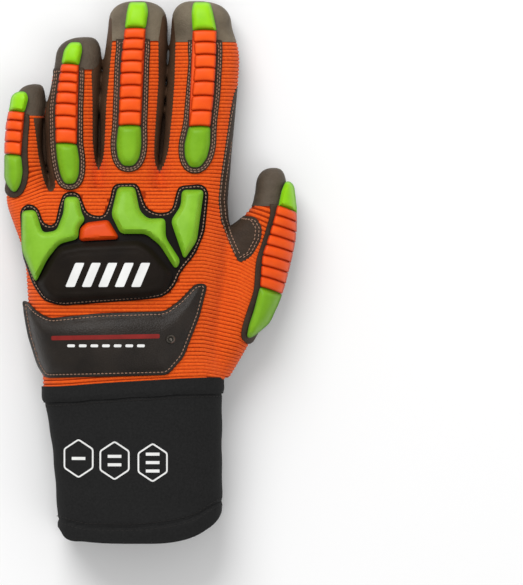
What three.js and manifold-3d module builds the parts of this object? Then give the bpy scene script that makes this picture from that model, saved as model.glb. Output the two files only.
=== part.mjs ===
// A left impact glove, lying palm down, in millimetres.
// +X points to the thumb side, +Y to the fingertips, +Z out of the back of the hand.
// The glove is hollow: fabric and leather walls round the hand, open at the cuff.
// Padded and moulded guards lie on the back, worn-in leather patches under the palm.
// Places over the hand are shares of the palm's width and length, measured from the wrist line.

import * as THREE from "three";
import { mergeVertices } from "three/addons/utils/BufferGeometryUtils.js";
import Module from "manifold-3d";

const wasm = await Module();
wasm.setup();

// Sizes of the hand
const palmWidth = 100;
const palmLength = 100;
const palmHeight = 40;
const skinWall = 1.8;
const fingerGap = 1;
const seamGap = 0.3;

// Each finger: its root as shares of the palm, its own length, width and height
const fingers = [
  { name: "little", rootAcross: 0.125, rootAlong: 0.975, length: 53, width: 21, height: 22 },
  { name: "ring", rootAcross: 0.36, rootAlong: 1, length: 74, width: 27, height: 25 },
  { name: "middle", rootAcross: 0.655, rootAlong: 1, length: 92, width: 32, height: 26 },
  { name: "index", rootAcross: 0.98, rootAlong: 1, length: 92, width: 35, height: 26 },
  { name: "thumb", rootAcross: 1.125, rootAlong: 0.175, length: 91, width: 25, height: 25 },
];

// Sizes of the cuff and its pull tab
const cuffLength = 78;
const cuffWidth = 90;
const cuffHeight = 38.5;
const cuffWall = 3;
const cuffLeft = 0.21;
const cuffBandWidth = 7.5;
const strapWidth = 20;
const strapLength = 48;
const strapThickness = 1.2;
const labelWidth = 30;
const labelLength = 34;
const labelThickness = 1.1;
const loopWidth = 25;
const loopLength = 16;
const loopHoleWidth = 14;
const loopHoleLength = 7;
const tabAcross = 0.46;
const tabStart = 0.13;

// Thicknesses of what lies on the hand
const patchThickness = 1.2;
const patchMargin = 3.2;
const ribFloor = 0.9;
const ribHeight = 2.7;
const ribGroove = 0.8;
const fingerPadHeight = 3.1;
const knucklePadHeight = 4.8;
const plateHeight = 4.6;
const wristPadHeight = 4.2;
const palmPatchThickness = 1.3;
const rivetRadius = 2.3;
const rivetHeight = 1.1;
const rivetAcross = 0.855;
const rivetAlong = 0.23;
const guardLowest = 0.25;
const cornerRadius = 2.6;

// Heights above the surface that the glove lies on
const skinFloor = palmPatchThickness + seamGap;
const cuffFloor = labelThickness + strapThickness + 2 * seamGap;

// Fineness of the faceted walls
const palmSides = 16;
const fingerSides = 10;
const innerPalmSides = 12;
const innerFingerSides = 8;
const tipSteps = [0.6, 0.93];
const cornerSteps = 1;

// Roundness of a section: above its widest level, below it, and at a fingertip
const backPower = 2.5;
const palmPower = 5;
const tipPower = 2.6;
const tipHeightPower = 2.2;
const widestLevel = 0.42;
const tipLevel = 0.4;

// The palm and back of the hand, from the wrist to the finger roots
const palmRows = [
  { along: -0.08, left: 0.22, right: 1.11, low: 0.035, high: 0.97 },
  { along: 0.05, left: 0.215, right: 1.12, low: 0.02, high: 0.98 },
  { along: 0.2, left: 0.18, right: 1.11, low: 0, high: 1 },
  { along: 0.37, left: 0.148, right: 1.12, low: 0, high: 1 },
  { along: 0.66, left: 0.12, right: 1.15, low: 0, high: 0.95 },
  { along: 0.84, left: 0.058, right: 1.14, low: 0, high: 0.85 },
  { along: 0.925, left: 0.033, right: 1.135, low: 0, high: 0.77 },
  { along: 0.98, left: 0.035, right: 1.14, low: 0.01, high: 0.67 },
];

// The fingers, each as shares of its own length, width and height, from its root
const fingerRows = {
  little: [
    { along: -0.14, left: -0.36, right: 0.75, high: 1.08 },
    { along: -0.02, left: -0.4, right: 0.67, high: 1.04 },
    { along: 0.19, left: -0.37, right: 0.52, high: 1 },
    { along: 0.36, left: -0.37, right: 0.44, high: 0.97 },
    { along: 0.61, left: -0.33, right: 0.43, high: 0.93 },
    { along: 0.81, left: -0.22, right: 0.5, high: 0.87, tip: 0.3 },
  ],
  ring: [
    { along: -0.12, left: -0.5, right: 0.62, high: 1.1 },
    { along: 0, left: -0.43, right: 0.56, high: 1.06 },
    { along: 0.1, left: -0.46, right: 0.525, high: 1.02 },
    { along: 0.15, left: -0.49, right: 0.488, high: 1.01 },
    { along: 0.44, left: -0.53, right: 0.5, high: 0.96 },
    { along: 0.64, left: -0.43, right: 0.53, high: 0.91 },
    { along: 0.83, left: -0.33, right: 0.56, high: 0.84, tip: 0.3 },
  ],
  middle: [
    { along: -0.1, left: -0.62, right: 0.56, high: 1.1 },
    { along: 0, left: -0.57, right: 0.5, high: 1.05 },
    { along: 0.09, left: -0.53, right: 0.47, high: 1.02 },
    { along: 0.13, left: -0.51, right: 0.45, high: 1.01 },
    { along: 0.41, left: -0.5, right: 0.52, high: 0.96 },
    { along: 0.64, left: -0.455, right: 0.565, high: 0.9 },
    { along: 0.86, left: -0.375, right: 0.585, high: 0.82, tip: 0.1 },
  ],
  index: [
    { along: -0.1, left: -0.64, right: 0.44, high: 1.1 },
    { along: 0, left: -0.585, right: 0.46, high: 1.05 },
    { along: 0.09, left: -0.54, right: 0.485, high: 1.02 },
    { along: 0.13, left: -0.515, right: 0.49, high: 1.01 },
    { along: 0.41, left: -0.45, right: 0.557, high: 0.96 },
    { along: 0.7, left: -0.4, right: 0.61, high: 0.88 },
    { along: 0.86, left: -0.37, right: 0.5, high: 0.82, tip: -0.03 },
  ],
  thumb: [
    { along: -0.16, left: -0.8, right: 0.06, high: 1.1 },
    { along: 0, left: -0.8, right: 0.4, high: 1.12 },
    { along: 0.273, left: -0.6, right: 0.92, high: 1.06 },
    { along: 0.546, left: -0.4, right: 1.2, high: 1 },
    { along: 0.64, left: -0.06, right: 1.26, high: 0.97 },
    { along: 0.77, left: 0.5, right: 1.27, high: 0.94 },
    { along: 0.874, left: 0.62, right: 1.22, high: 0.89, tip: 1 },
  ],
};

// The strip that each finger's guard fills, from the fingertip to the root, and its ribs
const guards = {
  little: { ribs: 4, ribTop: 0.736, ribEnd: 0.33, growth: 0.13 },
  ring: { ribs: 7, ribTop: 0.811, ribEnd: 0.277, growth: 0.11 },
  middle: { ribs: 8, ribTop: 0.848, ribEnd: 0.32, growth: 0.045 },
  index: { ribs: 7, ribTop: 0.837, ribEnd: 0.315, growth: 0.05 },
  thumb: { ribs: 8, ribTop: 0.765, ribEnd: 0.317, growth: 0.02 },
};
const guardRows = {
  little: [
    { along: 0.915, left: -0.21, right: 0.02 },
    { along: 0.868, left: -0.4, right: 0.083 },
    { along: 0.736, left: -0.6, right: -0.01 },
    { along: 0.519, left: -0.6, right: -0.07 },
    { along: 0.33, left: -0.6, right: -0.09 },
    { along: 0.17, left: -0.55, right: -0.05 },
    { along: 0.057, left: -0.45, right: -0.1 },
    { along: -0.019, left: -0.3, right: -0.21 },
  ],
  ring: [
    { along: 0.953, left: -0.04, right: 0.167 },
    { along: 0.912, left: -0.148, right: 0.194 },
    { along: 0.811, left: -0.2, right: 0.13 },
    { along: 0.676, left: -0.26, right: 0.11 },
    { along: 0.507, left: -0.315, right: 0.093 },
    { along: 0.277, left: -0.3, right: 0.093 },
    { along: 0.169, left: -0.27, right: 0.139 },
    { along: 0.068, left: -0.213, right: 0.13 },
    { along: 0.007, left: -0.13, right: 0.056 },
  ],
  middle: [
    { along: 0.972, left: -0.03, right: 0.24 },
    { along: 0.94, left: -0.065, right: 0.27 },
    { along: 0.842, left: -0.1, right: 0.227 },
    { along: 0.679, left: -0.156, right: 0.19 },
    { along: 0.462, left: -0.18, right: 0.172 },
    { along: 0.32, left: -0.195, right: 0.156 },
    { along: 0.217, left: -0.227, right: 0.164 },
    { along: 0.147, left: -0.203, right: 0.133 },
    { along: 0.103, left: -0.125, right: 0.047 },
  ],
  index: [
    { along: 0.972, left: -0.04, right: 0.2 },
    { along: 0.94, left: -0.064, right: 0.24 },
    { along: 0.842, left: -0.05, right: 0.293 },
    { along: 0.679, left: -0.014, right: 0.286 },
    { along: 0.489, left: -0.057, right: 0.257 },
    { along: 0.33, left: -0.093, right: 0.207 },
    { along: 0.217, left: -0.164, right: 0.2 },
    { along: 0.147, left: -0.157, right: 0.157 },
    { along: 0.095, left: -0.086, right: 0.057 },
  ],
  thumb: [
    { along: 0.92, left: 1.18, right: 1.4 },
    { along: 0.874, left: 1.13, right: 1.5 },
    { along: 0.781, left: 1.06, right: 1.6 },
    { along: 0.71, left: 1, right: 1.6 },
    { along: 0.596, left: 0.88, right: 1.55 },
    { along: 0.486, left: 0.74, right: 1.5 },
    { along: 0.393, left: 0.72, right: 1.4 },
    { along: 0.317, left: 0.7, right: 1.3 },
    { along: 0.219, left: 0.58, right: 1.1 },
    { along: 0.137, left: 0.48, right: 0.86 },
    { along: 0.066, left: 0.43, right: 0.54 },
  ],
};

// Where the leather of each fingertip begins, and how far its region reaches there and past the tip
const caps = {
  little: { from: 0.7, left: -0.9, right: 0.455, leftPast: -0.9, rightPast: 0.7 },
  ring: { from: 0.78, left: -0.6, right: 0.55, leftPast: -0.6, rightPast: 0.55 },
  middle: { from: 0.783, left: -0.46, right: 0.58, leftPast: -0.42, rightPast: 0.6 },
  index: { from: 0.777, left: -0.4, right: 0.9, leftPast: -0.38, rightPast: 0.9 },
  thumb: { from: 0.79, left: 0.2, right: 1.9, leftPast: 0.2, rightPast: 1.9 },
};
const capReach = 1.2;

// Where each finger's own walls begin, as shares of its length and width
const fingerWalls = {
  little: { from: 0.03, left: -3 },
  ring: { from: 0.13, left: -3 },
  middle: { from: 0.11, left: -3 },
  index: { from: 0.1, left: -3 },
  thumb: { from: -0.3, left: 0.2 },
};

// The height of the seam between back and palm, as shares of the palm's length and height
const seamRows = [
  { along: -0.4, high: 0.4 },
  { along: 0.4, high: 0.36 },
  { along: 0.8, high: 0.28 },
  { along: 1.1, high: 0.22 },
  { along: 2.3, high: 0.17 },
];

// Outlines over the palm, as shares of its width and length
const wristLine = [[-0.2, -0.01], [0.3, -0.01], [0.5, 0.005], [0.75, 0.02], [1, 0.0325], [1.6, 0.035]];
const forkLittleRing = [
  [0.165, 1.34], [0.18, 1.225], [0.19, 1.14], [0.215, 1.025], [0.235, 0.98], [0.255, 0.96], [0.28, 0.985],
  [0.275, 1.075], [0.26, 1.15], [0.25, 1.32], [0.265, 1.57], [0.2, 1.57], [0.235, 1.42], [0.225, 1.34],
];
const forkRingMiddle = [
  [0.455, 1.57], [0.46, 1.42], [0.46, 1.22], [0.47, 1.125], [0.4925, 1.065], [0.5175, 1.125], [0.525, 1.185],
  [0.535, 1.42], [0.55, 1.57], [0.56, 1.71], [0.52, 1.71], [0.505, 1.57],
];
const forkMiddleIndex = [
  [0.79, 1.7], [0.79, 1.52], [0.77, 1.225], [0.7675, 1.15], [0.775, 1.095], [0.7975, 1.06], [0.825, 1.105],
  [0.845, 1.175], [0.865, 1.375], [0.875, 1.52], [0.88, 1.7],
];
const sideBand = [
  [1.185, 1.5], [1.165, 1.45], [1.15, 1.375], [1.125, 1.2], [1.1, 1.025], [1.09, 0.925], [1.1, 0.835],
  [1.155, 0.865], [1.19, 0.9], [1.26, 1.1], [1.27, 1.5],
];
const keystone = [
  [1.11, 0.8], [1.14, 0.725], [1.18, 0.635], [1.2, 0.608], [1.26, 0.645], [1.305, 0.725], [1.31, 0.79],
  [1.28, 0.84], [1.2, 0.845], [1.16, 0.85], [1.105, 0.825],
];
const knuckleBase = [
  [0.1, 0.88], [0.145, 0.91], [0.195, 0.885], [0.22, 0.805], [0.275, 0.795], [0.3, 0.91], [0.32, 0.965],
  [0.395, 0.967], [0.44, 0.855], [0.52, 0.84], [0.55, 0.925], [0.565, 1.005], [0.69, 1.01], [0.735, 0.88],
  [0.8, 0.855], [0.86, 0.87], [0.89, 0.995], [1.015, 1.005], [1.045, 0.965], [1.025, 0.765], [0.98, 0.655],
  [0.905, 0.565], [0.875, 0.49], [0.82, 0.44], [0.74, 0.4275], [0.31, 0.395], [0.22, 0.42], [0.165, 0.5],
  [0.11, 0.65],
];
const knuckleLeft = [
  [0.11, 0.87], [0.18, 0.875], [0.215, 0.76], [0.285, 0.77], [0.32, 0.86], [0.325, 0.94], [0.395, 0.94],
  [0.41, 0.86], [0.43, 0.825], [0.395, 0.785], [0.395, 0.73], [0.3, 0.705], [0.24, 0.63], [0.18, 0.51],
  [0.108, 0.675],
];
const knuckleMiddle = [
  [0.59, 0.99], [0.675, 0.99], [0.7, 0.87], [0.74, 0.83], [0.828, 0.833], [0.83, 0.735], [0.905, 0.62],
  [0.88, 0.575], [0.8, 0.7], [0.73, 0.755], [0.605, 0.755], [0.558, 0.85],
];
const knuckleIndex = [
  [0.91, 0.975], [1.02, 0.975], [0.985, 0.72], [0.922, 0.625], [0.855, 0.82], [0.905, 0.895],
];
const knuckleBridge = [[0.41, 0.78], [0.44, 0.805], [0.54, 0.8175], [0.59, 0.735], [0.405, 0.725]];
const knucklePlate = [
  [0.29, 0.69], [0.4, 0.7125], [0.7, 0.725], [0.76, 0.69], [0.87, 0.555], [0.83, 0.46], [0.74, 0.4375],
  [0.29, 0.41], [0.235, 0.43], [0.185, 0.505], [0.235, 0.6],
];
const wristPad = [
  [0.095, 0.42], [0.135, 0.425], [0.185, 0.37], [0.25, 0.335], [0.5, 0.36], [0.825, 0.37], [0.9, 0.425],
  [0.98, 0.51], [1.04, 0.505], [1, 0.345], [0.92, 0.14], [0.84, 0.05], [0.225, 0.035], [0.185, 0.095],
  [0.135, 0.255],
];
const palmPatchUpper = [
  [0.18, 0.86], [0.35, 0.925], [0.475, 0.945], [0.505, 0.995], [0.555, 1.03], [0.6, 1.035], [0.7, 0.985],
  [0.81, 0.98], [0.885, 1.005], [0.935, 1.02], [0.97, 0.95], [0.965, 0.835], [0.94, 0.66], [0.875, 0.61],
  [0.6, 0.59], [0.22, 0.595], [0.175, 0.65],
];
const palmPatchLower = [
  [0.18, 0.465], [0.4, 0.475], [0.52, 0.51], [0.73, 0.535], [0.845, 0.505], [0.87, 0.465], [0.865, 0.36],
  [0.83, 0.155], [0.73, 0.055], [0.52, 0.03], [0.35, 0.03], [0.25, 0.06], [0.2, 0.2],
];

// The cuff, as shares of its own length and width, from the wrist line to the hem
const cuffRows = [
  { along: -0.12, left: -0.005, right: 1.01 },
  { along: 0.11, left: 0.015, right: 1 },
  { along: 0.29, left: 0.045, right: 1 },
  { along: 0.7, left: 0.08, right: 1 },
  { along: 1.12, left: 0.1, right: 0.99 },
];
const cuffEnd = [
  [-0.2, 0.9], [0.09, 0.91], [0.13, 0.975], [0.24, 1], [0.6, 1.013], [0.805, 0.984], [0.905, 0.93],
  [0.98, 0.853], [1.01, 0.78], [1.3, 0.75],
];
const hemLine = [[-0.2, 0.84], [0.09, 0.86], [0.27, 0.905], [0.6, 0.9], [0.85, 0.84], [0.95, 0.77], [1.3, 0.62]];

// Materials by what they are made of
function finish(color, roughness, metalness = 0) {
  return new THREE.MeshStandardMaterial({ color, roughness, metalness });
}
const knit = finish(0xe65a17, 0.85);
const leather = finish(0x4e4640, 0.7);
const suede = finish(0x464240, 0.9);
const neoprene = finish(0x242426, 0.8);
const orangeRubber = finish(0xf0601a, 0.5);
const greenRubber = finish(0x84c832, 0.45);
const blackRubber = finish(0x26201c, 0.55);
const padLeather = finish(0x2c2927, 0.6);
const webbing = finish(0x4a4a4a, 0.85);
const steel = finish(0x4c4a48, 0.4, 0.8);

// Solids from closed meshes
function solidOf(geometry) {
  geometry.deleteAttribute("normal");
  geometry.deleteAttribute("uv");
  const merged = mergeVertices(geometry, 1e-4);
  return new wasm.Manifold(new wasm.Mesh({
    numProp: 3,
    vertProperties: new Float32Array(merged.attributes.position.array),
    triVerts: new Uint32Array(merged.index.array),
  }));
}

// A wall of facets through a list of rings, closed by a fan at both ends
function solidThroughRings(rings) {
  const sides = rings[0].length;
  const positions = rings.flat(2);
  const indices = [];
  for (let row = 0; row + 1 < rings.length; row += 1) {
    for (let side = 0; side < sides; side += 1) {
      const here = row * sides + side;
      const next = row * sides + (side + 1) % sides;
      indices.push(here, here + sides, next);
      indices.push(next, here + sides, next + sides);
    }
  }
  for (const [row, turned] of [[0, false], [rings.length - 1, true]]) {
    const corners = rings[row];
    const centre = positions.length / 3;
    for (const axis of [0, 1, 2]) {
      positions.push(corners.reduce((sum, corner) => sum + corner[axis], 0) / sides);
    }
    for (let side = 0; side < sides; side += 1) {
      const here = row * sides + side;
      const next = row * sides + (side + 1) % sides;
      indices.push(centre, ...(turned ? [next, here] : [here, next]));
    }
  }
  const geometry = new THREE.BufferGeometry();
  geometry.setAttribute("position", new THREE.Float32BufferAttribute(positions, 3));
  geometry.setIndex(indices);
  return solidOf(geometry);
}

function signedPower(value, power) {
  return Math.sign(value) * Math.abs(value) ** power;
}

// A section across the hand: round over the back, nearly flat under the palm
function section(row, sides) {
  const middle = (row.left + row.right) / 2;
  const reach = (row.right - row.left) / 2;
  const level = row.low + (row.high - row.low) * widestLevel;
  const corners = [];
  for (let side = 0; side < sides; side += 1) {
    const angle = 2 * Math.PI * (side + 0.5) / sides;
    const rise = Math.sin(angle);
    const power = rise > 0 ? backPower : palmPower;
    const height = rise > 0 ? row.high - level : level - row.low;
    corners.push([
      middle + reach * signedPower(Math.cos(angle), 2 / power),
      row.y,
      level + height * signedPower(rise, 2 / power),
    ]);
  }
  return corners;
}

function grown(row, grow) {
  return { ...row, left: row.left - grow, right: row.right + grow, low: row.low - grow, high: row.high + grow };
}

// The body of the palm, grown or shrunk by a wall
function palmSolid(grow) {
  const rows = palmRows.map((row) => grown({
    y: row.along * palmLength,
    left: row.left * palmWidth,
    right: row.right * palmWidth,
    low: skinFloor + row.low * palmHeight,
    high: skinFloor + row.high * palmHeight,
  }, grow));
  rows[0].y -= Math.max(0, -grow);
  rows[rows.length - 1].y += grow;
  return solidThroughRings(rows.map((row) => section(row, grow < 0 ? innerPalmSides : palmSides)));
}

// One finger, closed over its tip by shrinking sections
function fingerSolid(finger, grow) {
  const rootX = finger.rootAcross * palmWidth;
  const rootY = finger.rootAlong * palmLength;
  const gap = finger.name === "thumb" ? 0 : fingerGap / 2;
  const table = fingerRows[finger.name];
  const rows = table.map((row) => grown({
    y: rootY + row.along * finger.length,
    left: rootX + row.left * finger.width + gap,
    right: rootX + row.right * finger.width - gap,
    low: skinFloor,
    high: skinFloor + row.high * finger.height,
  }, grow));
  const last = rows[rows.length - 1];
  const tipX = rootX + table[table.length - 1].tip * finger.width;
  const tipZ = last.low + (last.high - last.low) * tipLevel;
  const tipY = rootY + finger.length + grow;
  for (const step of tipSteps) {
    const wide = (1 - step ** tipPower) ** (1 / tipPower);
    const tall = (1 - step ** tipHeightPower) ** (1 / tipHeightPower);
    rows.push({
      y: last.y + (tipY - last.y) * step,
      left: tipX + (last.left - tipX) * wide,
      right: tipX + (last.right - tipX) * wide,
      low: tipZ + (last.low - tipZ) * tall,
      high: tipZ + (last.high - tipZ) * tall,
    });
  }
  return solidThroughRings(rows.map((row) => section(row, grow < 0 ? innerFingerSides : fingerSides)));
}

// The whole hand, grown by a height over its skin
const handsByHeight = new Map();
function hand(grow) {
  if (!handsByHeight.has(grow)) {
    let body = palmSolid(grow);
    for (const finger of fingers) {
      body = body.add(fingerSolid(finger, grow));
    }
    handsByHeight.set(grow, body);
  }
  return handsByHeight.get(grow);
}

// Prisms that stand on an outline seen from above
const prismTop = 3 * palmHeight;
function prism(points, from = -palmHeight, to = prismTop) {
  const shape = new THREE.Shape(points.map(([x, y]) => new THREE.Vector2(x, y)));
  const geometry = new THREE.ExtrudeGeometry(shape, { depth: to - from, bevelEnabled: false, curveSegments: 1 });
  geometry.translate(0, 0, from);
  return solidOf(geometry);
}

function onPalm(points) {
  return points.map(([across, along]) => [across * palmWidth, along * palmLength]);
}

function onCuff(points) {
  return points.map(([across, along]) => [cuffLeft * palmWidth + across * cuffWidth, -along * cuffLength]);
}

// Corners of an outline rounded with short curves
function rounded(points, radius = cornerRadius) {
  const result = [];
  points.forEach((corner, index) => {
    const before = points[(index + points.length - 1) % points.length];
    const after = points[(index + 1) % points.length];
    const cut = (to) => {
      const length = Math.hypot(to[0] - corner[0], to[1] - corner[1]);
      const share = Math.min(radius / length, 0.45);
      return [corner[0] + (to[0] - corner[0]) * share, corner[1] + (to[1] - corner[1]) * share];
    };
    const [start, end] = [cut(before), cut(after)];
    for (let step = 0; step <= cornerSteps; step += 1) {
      const t = step / cornerSteps;
      result.push([0, 1].map((axis) => (
        (1 - t) ** 2 * start[axis] + 2 * t * (1 - t) * corner[axis] + t ** 2 * end[axis]
      )));
    }
  });
  return result;
}

// An outline moved outwards by a distance, or inwards by a negative one
function widened(points, distance) {
  const area = points.reduce((sum, [x, y], index) => {
    const [nextX, nextY] = points[(index + 1) % points.length];
    return sum + x * nextY - nextX * y;
  }, 0);
  const side = Math.sign(area);
  return points.map((corner, index) => {
    const before = points[(index + points.length - 1) % points.length];
    const after = points[(index + 1) % points.length];
    const edges = [[before, corner], [corner, after]].map(([a, b]) => {
      const length = Math.hypot(b[0] - a[0], b[1] - a[1]);
      return [side * (b[1] - a[1]) / length, -side * (b[0] - a[0]) / length];
    });
    const sum = [edges[0][0] + edges[1][0], edges[0][1] + edges[1][1]];
    const stretch = Math.min(2 / (sum[0] ** 2 + sum[1] ** 2), 1);
    return [corner[0] + sum[0] * distance * stretch, corner[1] + sum[1] * distance * stretch];
  });
}

// Places on a finger, from shares of its width and length
function placeOn(finger) {
  return (across, along) => [
    finger.rootAcross * palmWidth + across * finger.width,
    finger.rootAlong * palmLength + along * finger.length,
  ];
}

// The part of a guard's strip between two stations along its finger
function stripOutline(finger, from, to) {
  const table = guardRows[finger.name];
  const at = (along) => {
    const upper = table.findIndex((row) => row.along <= along);
    if (upper <= 0) {
      return { ...table[upper === 0 ? 0 : table.length - 1], along };
    }
    const [a, b] = [table[upper - 1], table[upper]];
    const share = (a.along - along) / (a.along - b.along);
    return {
      along,
      left: a.left + (b.left - a.left) * share,
      right: a.right + (b.right - a.right) * share,
    };
  };
  const rows = [at(from), ...table.filter((row) => row.along < from && row.along > to), at(to)];
  const place = placeOn(finger);
  const leftEdge = rows.map((row) => place(row.left, row.along));
  const rightEdge = rows.map((row) => place(row.right, row.along)).reverse();
  return [...leftEdge, ...rightEdge];
}

// What lies above or below the seam between the back and the palm
function seamSide(above, gap) {
  const profile = seamRows.map((row) => [
    row.along * palmLength,
    skinFloor + row.high * palmHeight + (above ? gap : -gap),
  ]);
  const outerZ = above ? prismTop : -palmHeight;
  const [firstY, lastY] = [profile[0][0], profile[profile.length - 1][0]];
  const outline = [...profile, [lastY, outerZ], [firstY, outerZ]];
  const shape = new THREE.Shape(outline.map(([y, z]) => new THREE.Vector2(y, z)));
  const geometry = new THREE.ExtrudeGeometry(shape, { depth: 4 * palmWidth, bevelEnabled: false });
  geometry.rotateX(Math.PI / 2);
  geometry.rotateZ(Math.PI / 2);
  geometry.translate(-palmWidth, 0, 0);
  return solidOf(geometry);
}

// What lies on the hand's side of the wrist line, moved by a gap
function beyondWrist(shift) {
  const line = onPalm(wristLine).map(([x, y]) => [x, y + shift]);
  const far = 3 * palmLength;
  return prism([...line, [line[line.length - 1][0], far], [line[0][0], far]]);
}

const pieces = new Map();
function keep(name, solid, material) {
  const mesh = solid.getMesh();
  const geometry = new THREE.BufferGeometry();
  geometry.setAttribute("position", new THREE.BufferAttribute(new Float32Array(mesh.vertProperties), 3));
  geometry.setIndex(new THREE.BufferAttribute(new Uint32Array(mesh.triVerts), 1));
  const piece = new THREE.Mesh(geometry, material);
  piece.name = name;
  pieces.set(name, piece);
}

// A sheet of a given thickness, lying a height over the skin inside an outline
function onBack(outline, from, to) {
  const top = skinFloor + guardLowest * palmHeight;
  return hand(to).subtract(hand(from)).intersect(prism(outline, top));
}

// The walls of the hand, cut along their seams
function makeHand() {
  const wall = hand(0).subtract(hand(-skinWall)).intersect(beyondWrist(seamGap / 2));
  let palm = wall.intersect(seamSide(false, seamGap / 2));
  let back = wall.intersect(seamSide(true, seamGap / 2));
  const takeOut = (name, outline, material) => {
    keep(name, back.intersect(prism(outline)), material);
    back = back.subtract(prism(widened(outline, seamGap)));
  };
  for (const finger of fingers) {
    const cap = caps[finger.name];
    const place = placeOn(finger);
    const outline = [
      place(cap.left, cap.from),
      place(cap.right, cap.from),
      place(cap.rightPast, capReach),
      place(cap.leftPast, capReach),
    ];
    takeOut(`cap_${finger.name}`, outline, leather);
  }
  takeOut("fork_little_ring", onPalm(forkLittleRing), leather);
  takeOut("fork_ring_middle", onPalm(forkRingMiddle), leather);
  takeOut("fork_middle_index", onPalm(forkMiddleIndex), leather);
  takeOut("index_side_band", onPalm(sideBand), leather);
  takeOut("keystone_patch", onPalm(keystone), leather);
  for (const finger of fingers) {
    const { from, left } = fingerWalls[finger.name];
    const place = placeOn(finger);
    const outline = [place(left, from), place(3, from), place(3, capReach), place(left, capReach)];
    const room = finger.name === "thumb" ? 0 : fingerGap / 2;
    const inside = fingerSolid(finger, (seamGap + room) / 2).intersect(prism(outline));
    const around = fingerSolid(finger, seamGap + room / 2).intersect(prism(widened(outline, seamGap)));
    keep(`back_${finger.name}`, back.intersect(inside), knit);
    keep(`palm_${finger.name}`, palm.intersect(inside), leather);
    back = back.subtract(around);
    palm = palm.subtract(around);
  }
  keep("palm_shell", palm, leather);
  keep("hand_back", back, knit);
}

// The moulded guard of one finger: a sewn base, a tip, a row of ribs and a root
function makeFingerGuard(finger) {
  const guard = guards[finger.name];
  const gapShare = seamGap / 2 / finger.length;
  const table = guardRows[finger.name];
  const whole = stripOutline(finger, table[0].along, table[table.length - 1].along);
  const baseTop = seamGap + patchThickness;
  const low = baseTop + seamGap;
  keep(`guard_base_${finger.name}`, onBack(widened(whole, patchMargin), seamGap, baseTop), leather);
  const tip = stripOutline(finger, table[0].along, guard.ribTop + gapShare);
  keep(`guard_tip_${finger.name}`, onBack(tip, low, low + fingerPadHeight), greenRubber);
  const root = stripOutline(finger, guard.ribEnd - gapShare, table[table.length - 1].along);
  keep(`guard_root_${finger.name}`, onBack(root, low, low + fingerPadHeight), greenRubber);
  const pitches = Array.from({ length: guard.ribs }, (_, index) => 1 + guard.growth * index);
  const total = pitches.reduce((sum, pitch) => sum + pitch, 0);
  const strip = stripOutline(finger, guard.ribTop - gapShare, guard.ribEnd + gapShare);
  const place = placeOn(finger);
  let ribs = onBack(strip, low, low + ribHeight);
  let along = guard.ribTop;
  for (const pitch of pitches.slice(0, -1)) {
    along -= (guard.ribTop - guard.ribEnd) * pitch / total;
    const half = ribGroove / 2 / finger.length;
    const slot = [place(-1, along - half), place(2, along - half), place(2, along + half), place(-1, along + half)];
    ribs = ribs.subtract(prism(slot).subtract(hand(low + ribFloor)));
  }
  keep(`guard_ribs_${finger.name}`, ribs, orangeRubber);
}

// The guard over the knuckles and the pad over the wrist
function makeKnuckleGuard() {
  const baseTop = seamGap + patchThickness;
  const low = baseTop + seamGap;
  keep("knuckle_base", onBack(onPalm(knuckleBase), seamGap, baseTop), blackRubber);
  const plate = rounded(onPalm(knucklePlate));
  keep("knuckle_plate", onBack(plate, low, low + plateHeight), blackRubber);
  const clearOfPlate = prism(widened(plate, seamGap));
  const greens = {
    knuckle_guard_left: rounded(onPalm(knuckleLeft)),
    knuckle_guard_middle: rounded(onPalm(knuckleMiddle)),
    knuckle_guard_index: rounded(onPalm(knuckleIndex)),
  };
  let bridge = onBack(rounded(onPalm(knuckleBridge)), low, low + plateHeight).subtract(clearOfPlate);
  for (const [name, outline] of Object.entries(greens)) {
    keep(name, onBack(outline, low, low + knucklePadHeight).subtract(clearOfPlate), greenRubber);
    bridge = bridge.subtract(prism(widened(outline, seamGap)));
  }
  keep("knuckle_bridge", bridge, orangeRubber);
}

function makeWristPad() {
  const top = seamGap + wristPadHeight;
  keep("wrist_pad", onBack(rounded(onPalm(wristPad)), seamGap, top), padLeather);
  const outline = [];
  const rivetSides = 12;
  for (let side = 0; side < rivetSides; side += 1) {
    const angle = 2 * Math.PI * side / rivetSides;
    outline.push([
      rivetAcross * palmWidth + rivetRadius * Math.cos(angle),
      rivetAlong * palmLength + rivetRadius * Math.sin(angle),
    ]);
  }
  keep("wrist_rivet", onBack(outline, top + seamGap, top + seamGap + rivetHeight), steel);
}

// Leather patches under the palm, flat where the glove rests on them
function makePalmPatches() {
  const top = skinFloor + 2 * palmPatchThickness;
  for (const [name, outline] of [["palm_patch_upper", palmPatchUpper], ["palm_patch_lower", palmPatchLower]]) {
    keep(name, prism(rounded(onPalm(outline)), 0, top).subtract(hand(seamGap)), suede);
  }
}

// The cuff's tube, grown or shrunk by a wall
function cuffSolid(grow) {
  const start = cuffLeft * palmWidth;
  const rows = cuffRows.map((row) => grown({
    y: -row.along * cuffLength,
    left: start + row.left * cuffWidth,
    right: start + row.right * cuffWidth,
    low: cuffFloor,
    high: cuffFloor + cuffHeight,
  }, grow));
  rows[0].y -= grow;
  rows[rows.length - 1].y += grow;
  return solidThroughRings(rows.reverse().map((row) => section(row, palmSides)));
}

function makeCuff() {
  const tube = cuffSolid(0).subtract(cuffSolid(-cuffWall));
  const between = (upper, lower) => prism([...upper, ...[...lower].reverse()]);
  const wristAt = (shift) => onPalm(wristLine).map(([x, y]) => [x, y + shift]);
  const end = onCuff(cuffEnd);
  const hem = (shift) => onCuff(hemLine).map(([x, y]) => [x, y + shift]);
  const half = seamGap / 2;
  keep("cuff_band", tube.intersect(between(wristAt(-half), wristAt(half - cuffBandWidth))), neoprene);
  keep("cuff", tube.intersect(between(wristAt(-half - cuffBandWidth), hem(half))), neoprene);
  keep("cuff_hem", tube.intersect(between(hem(-half), end)), neoprene);
}

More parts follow.
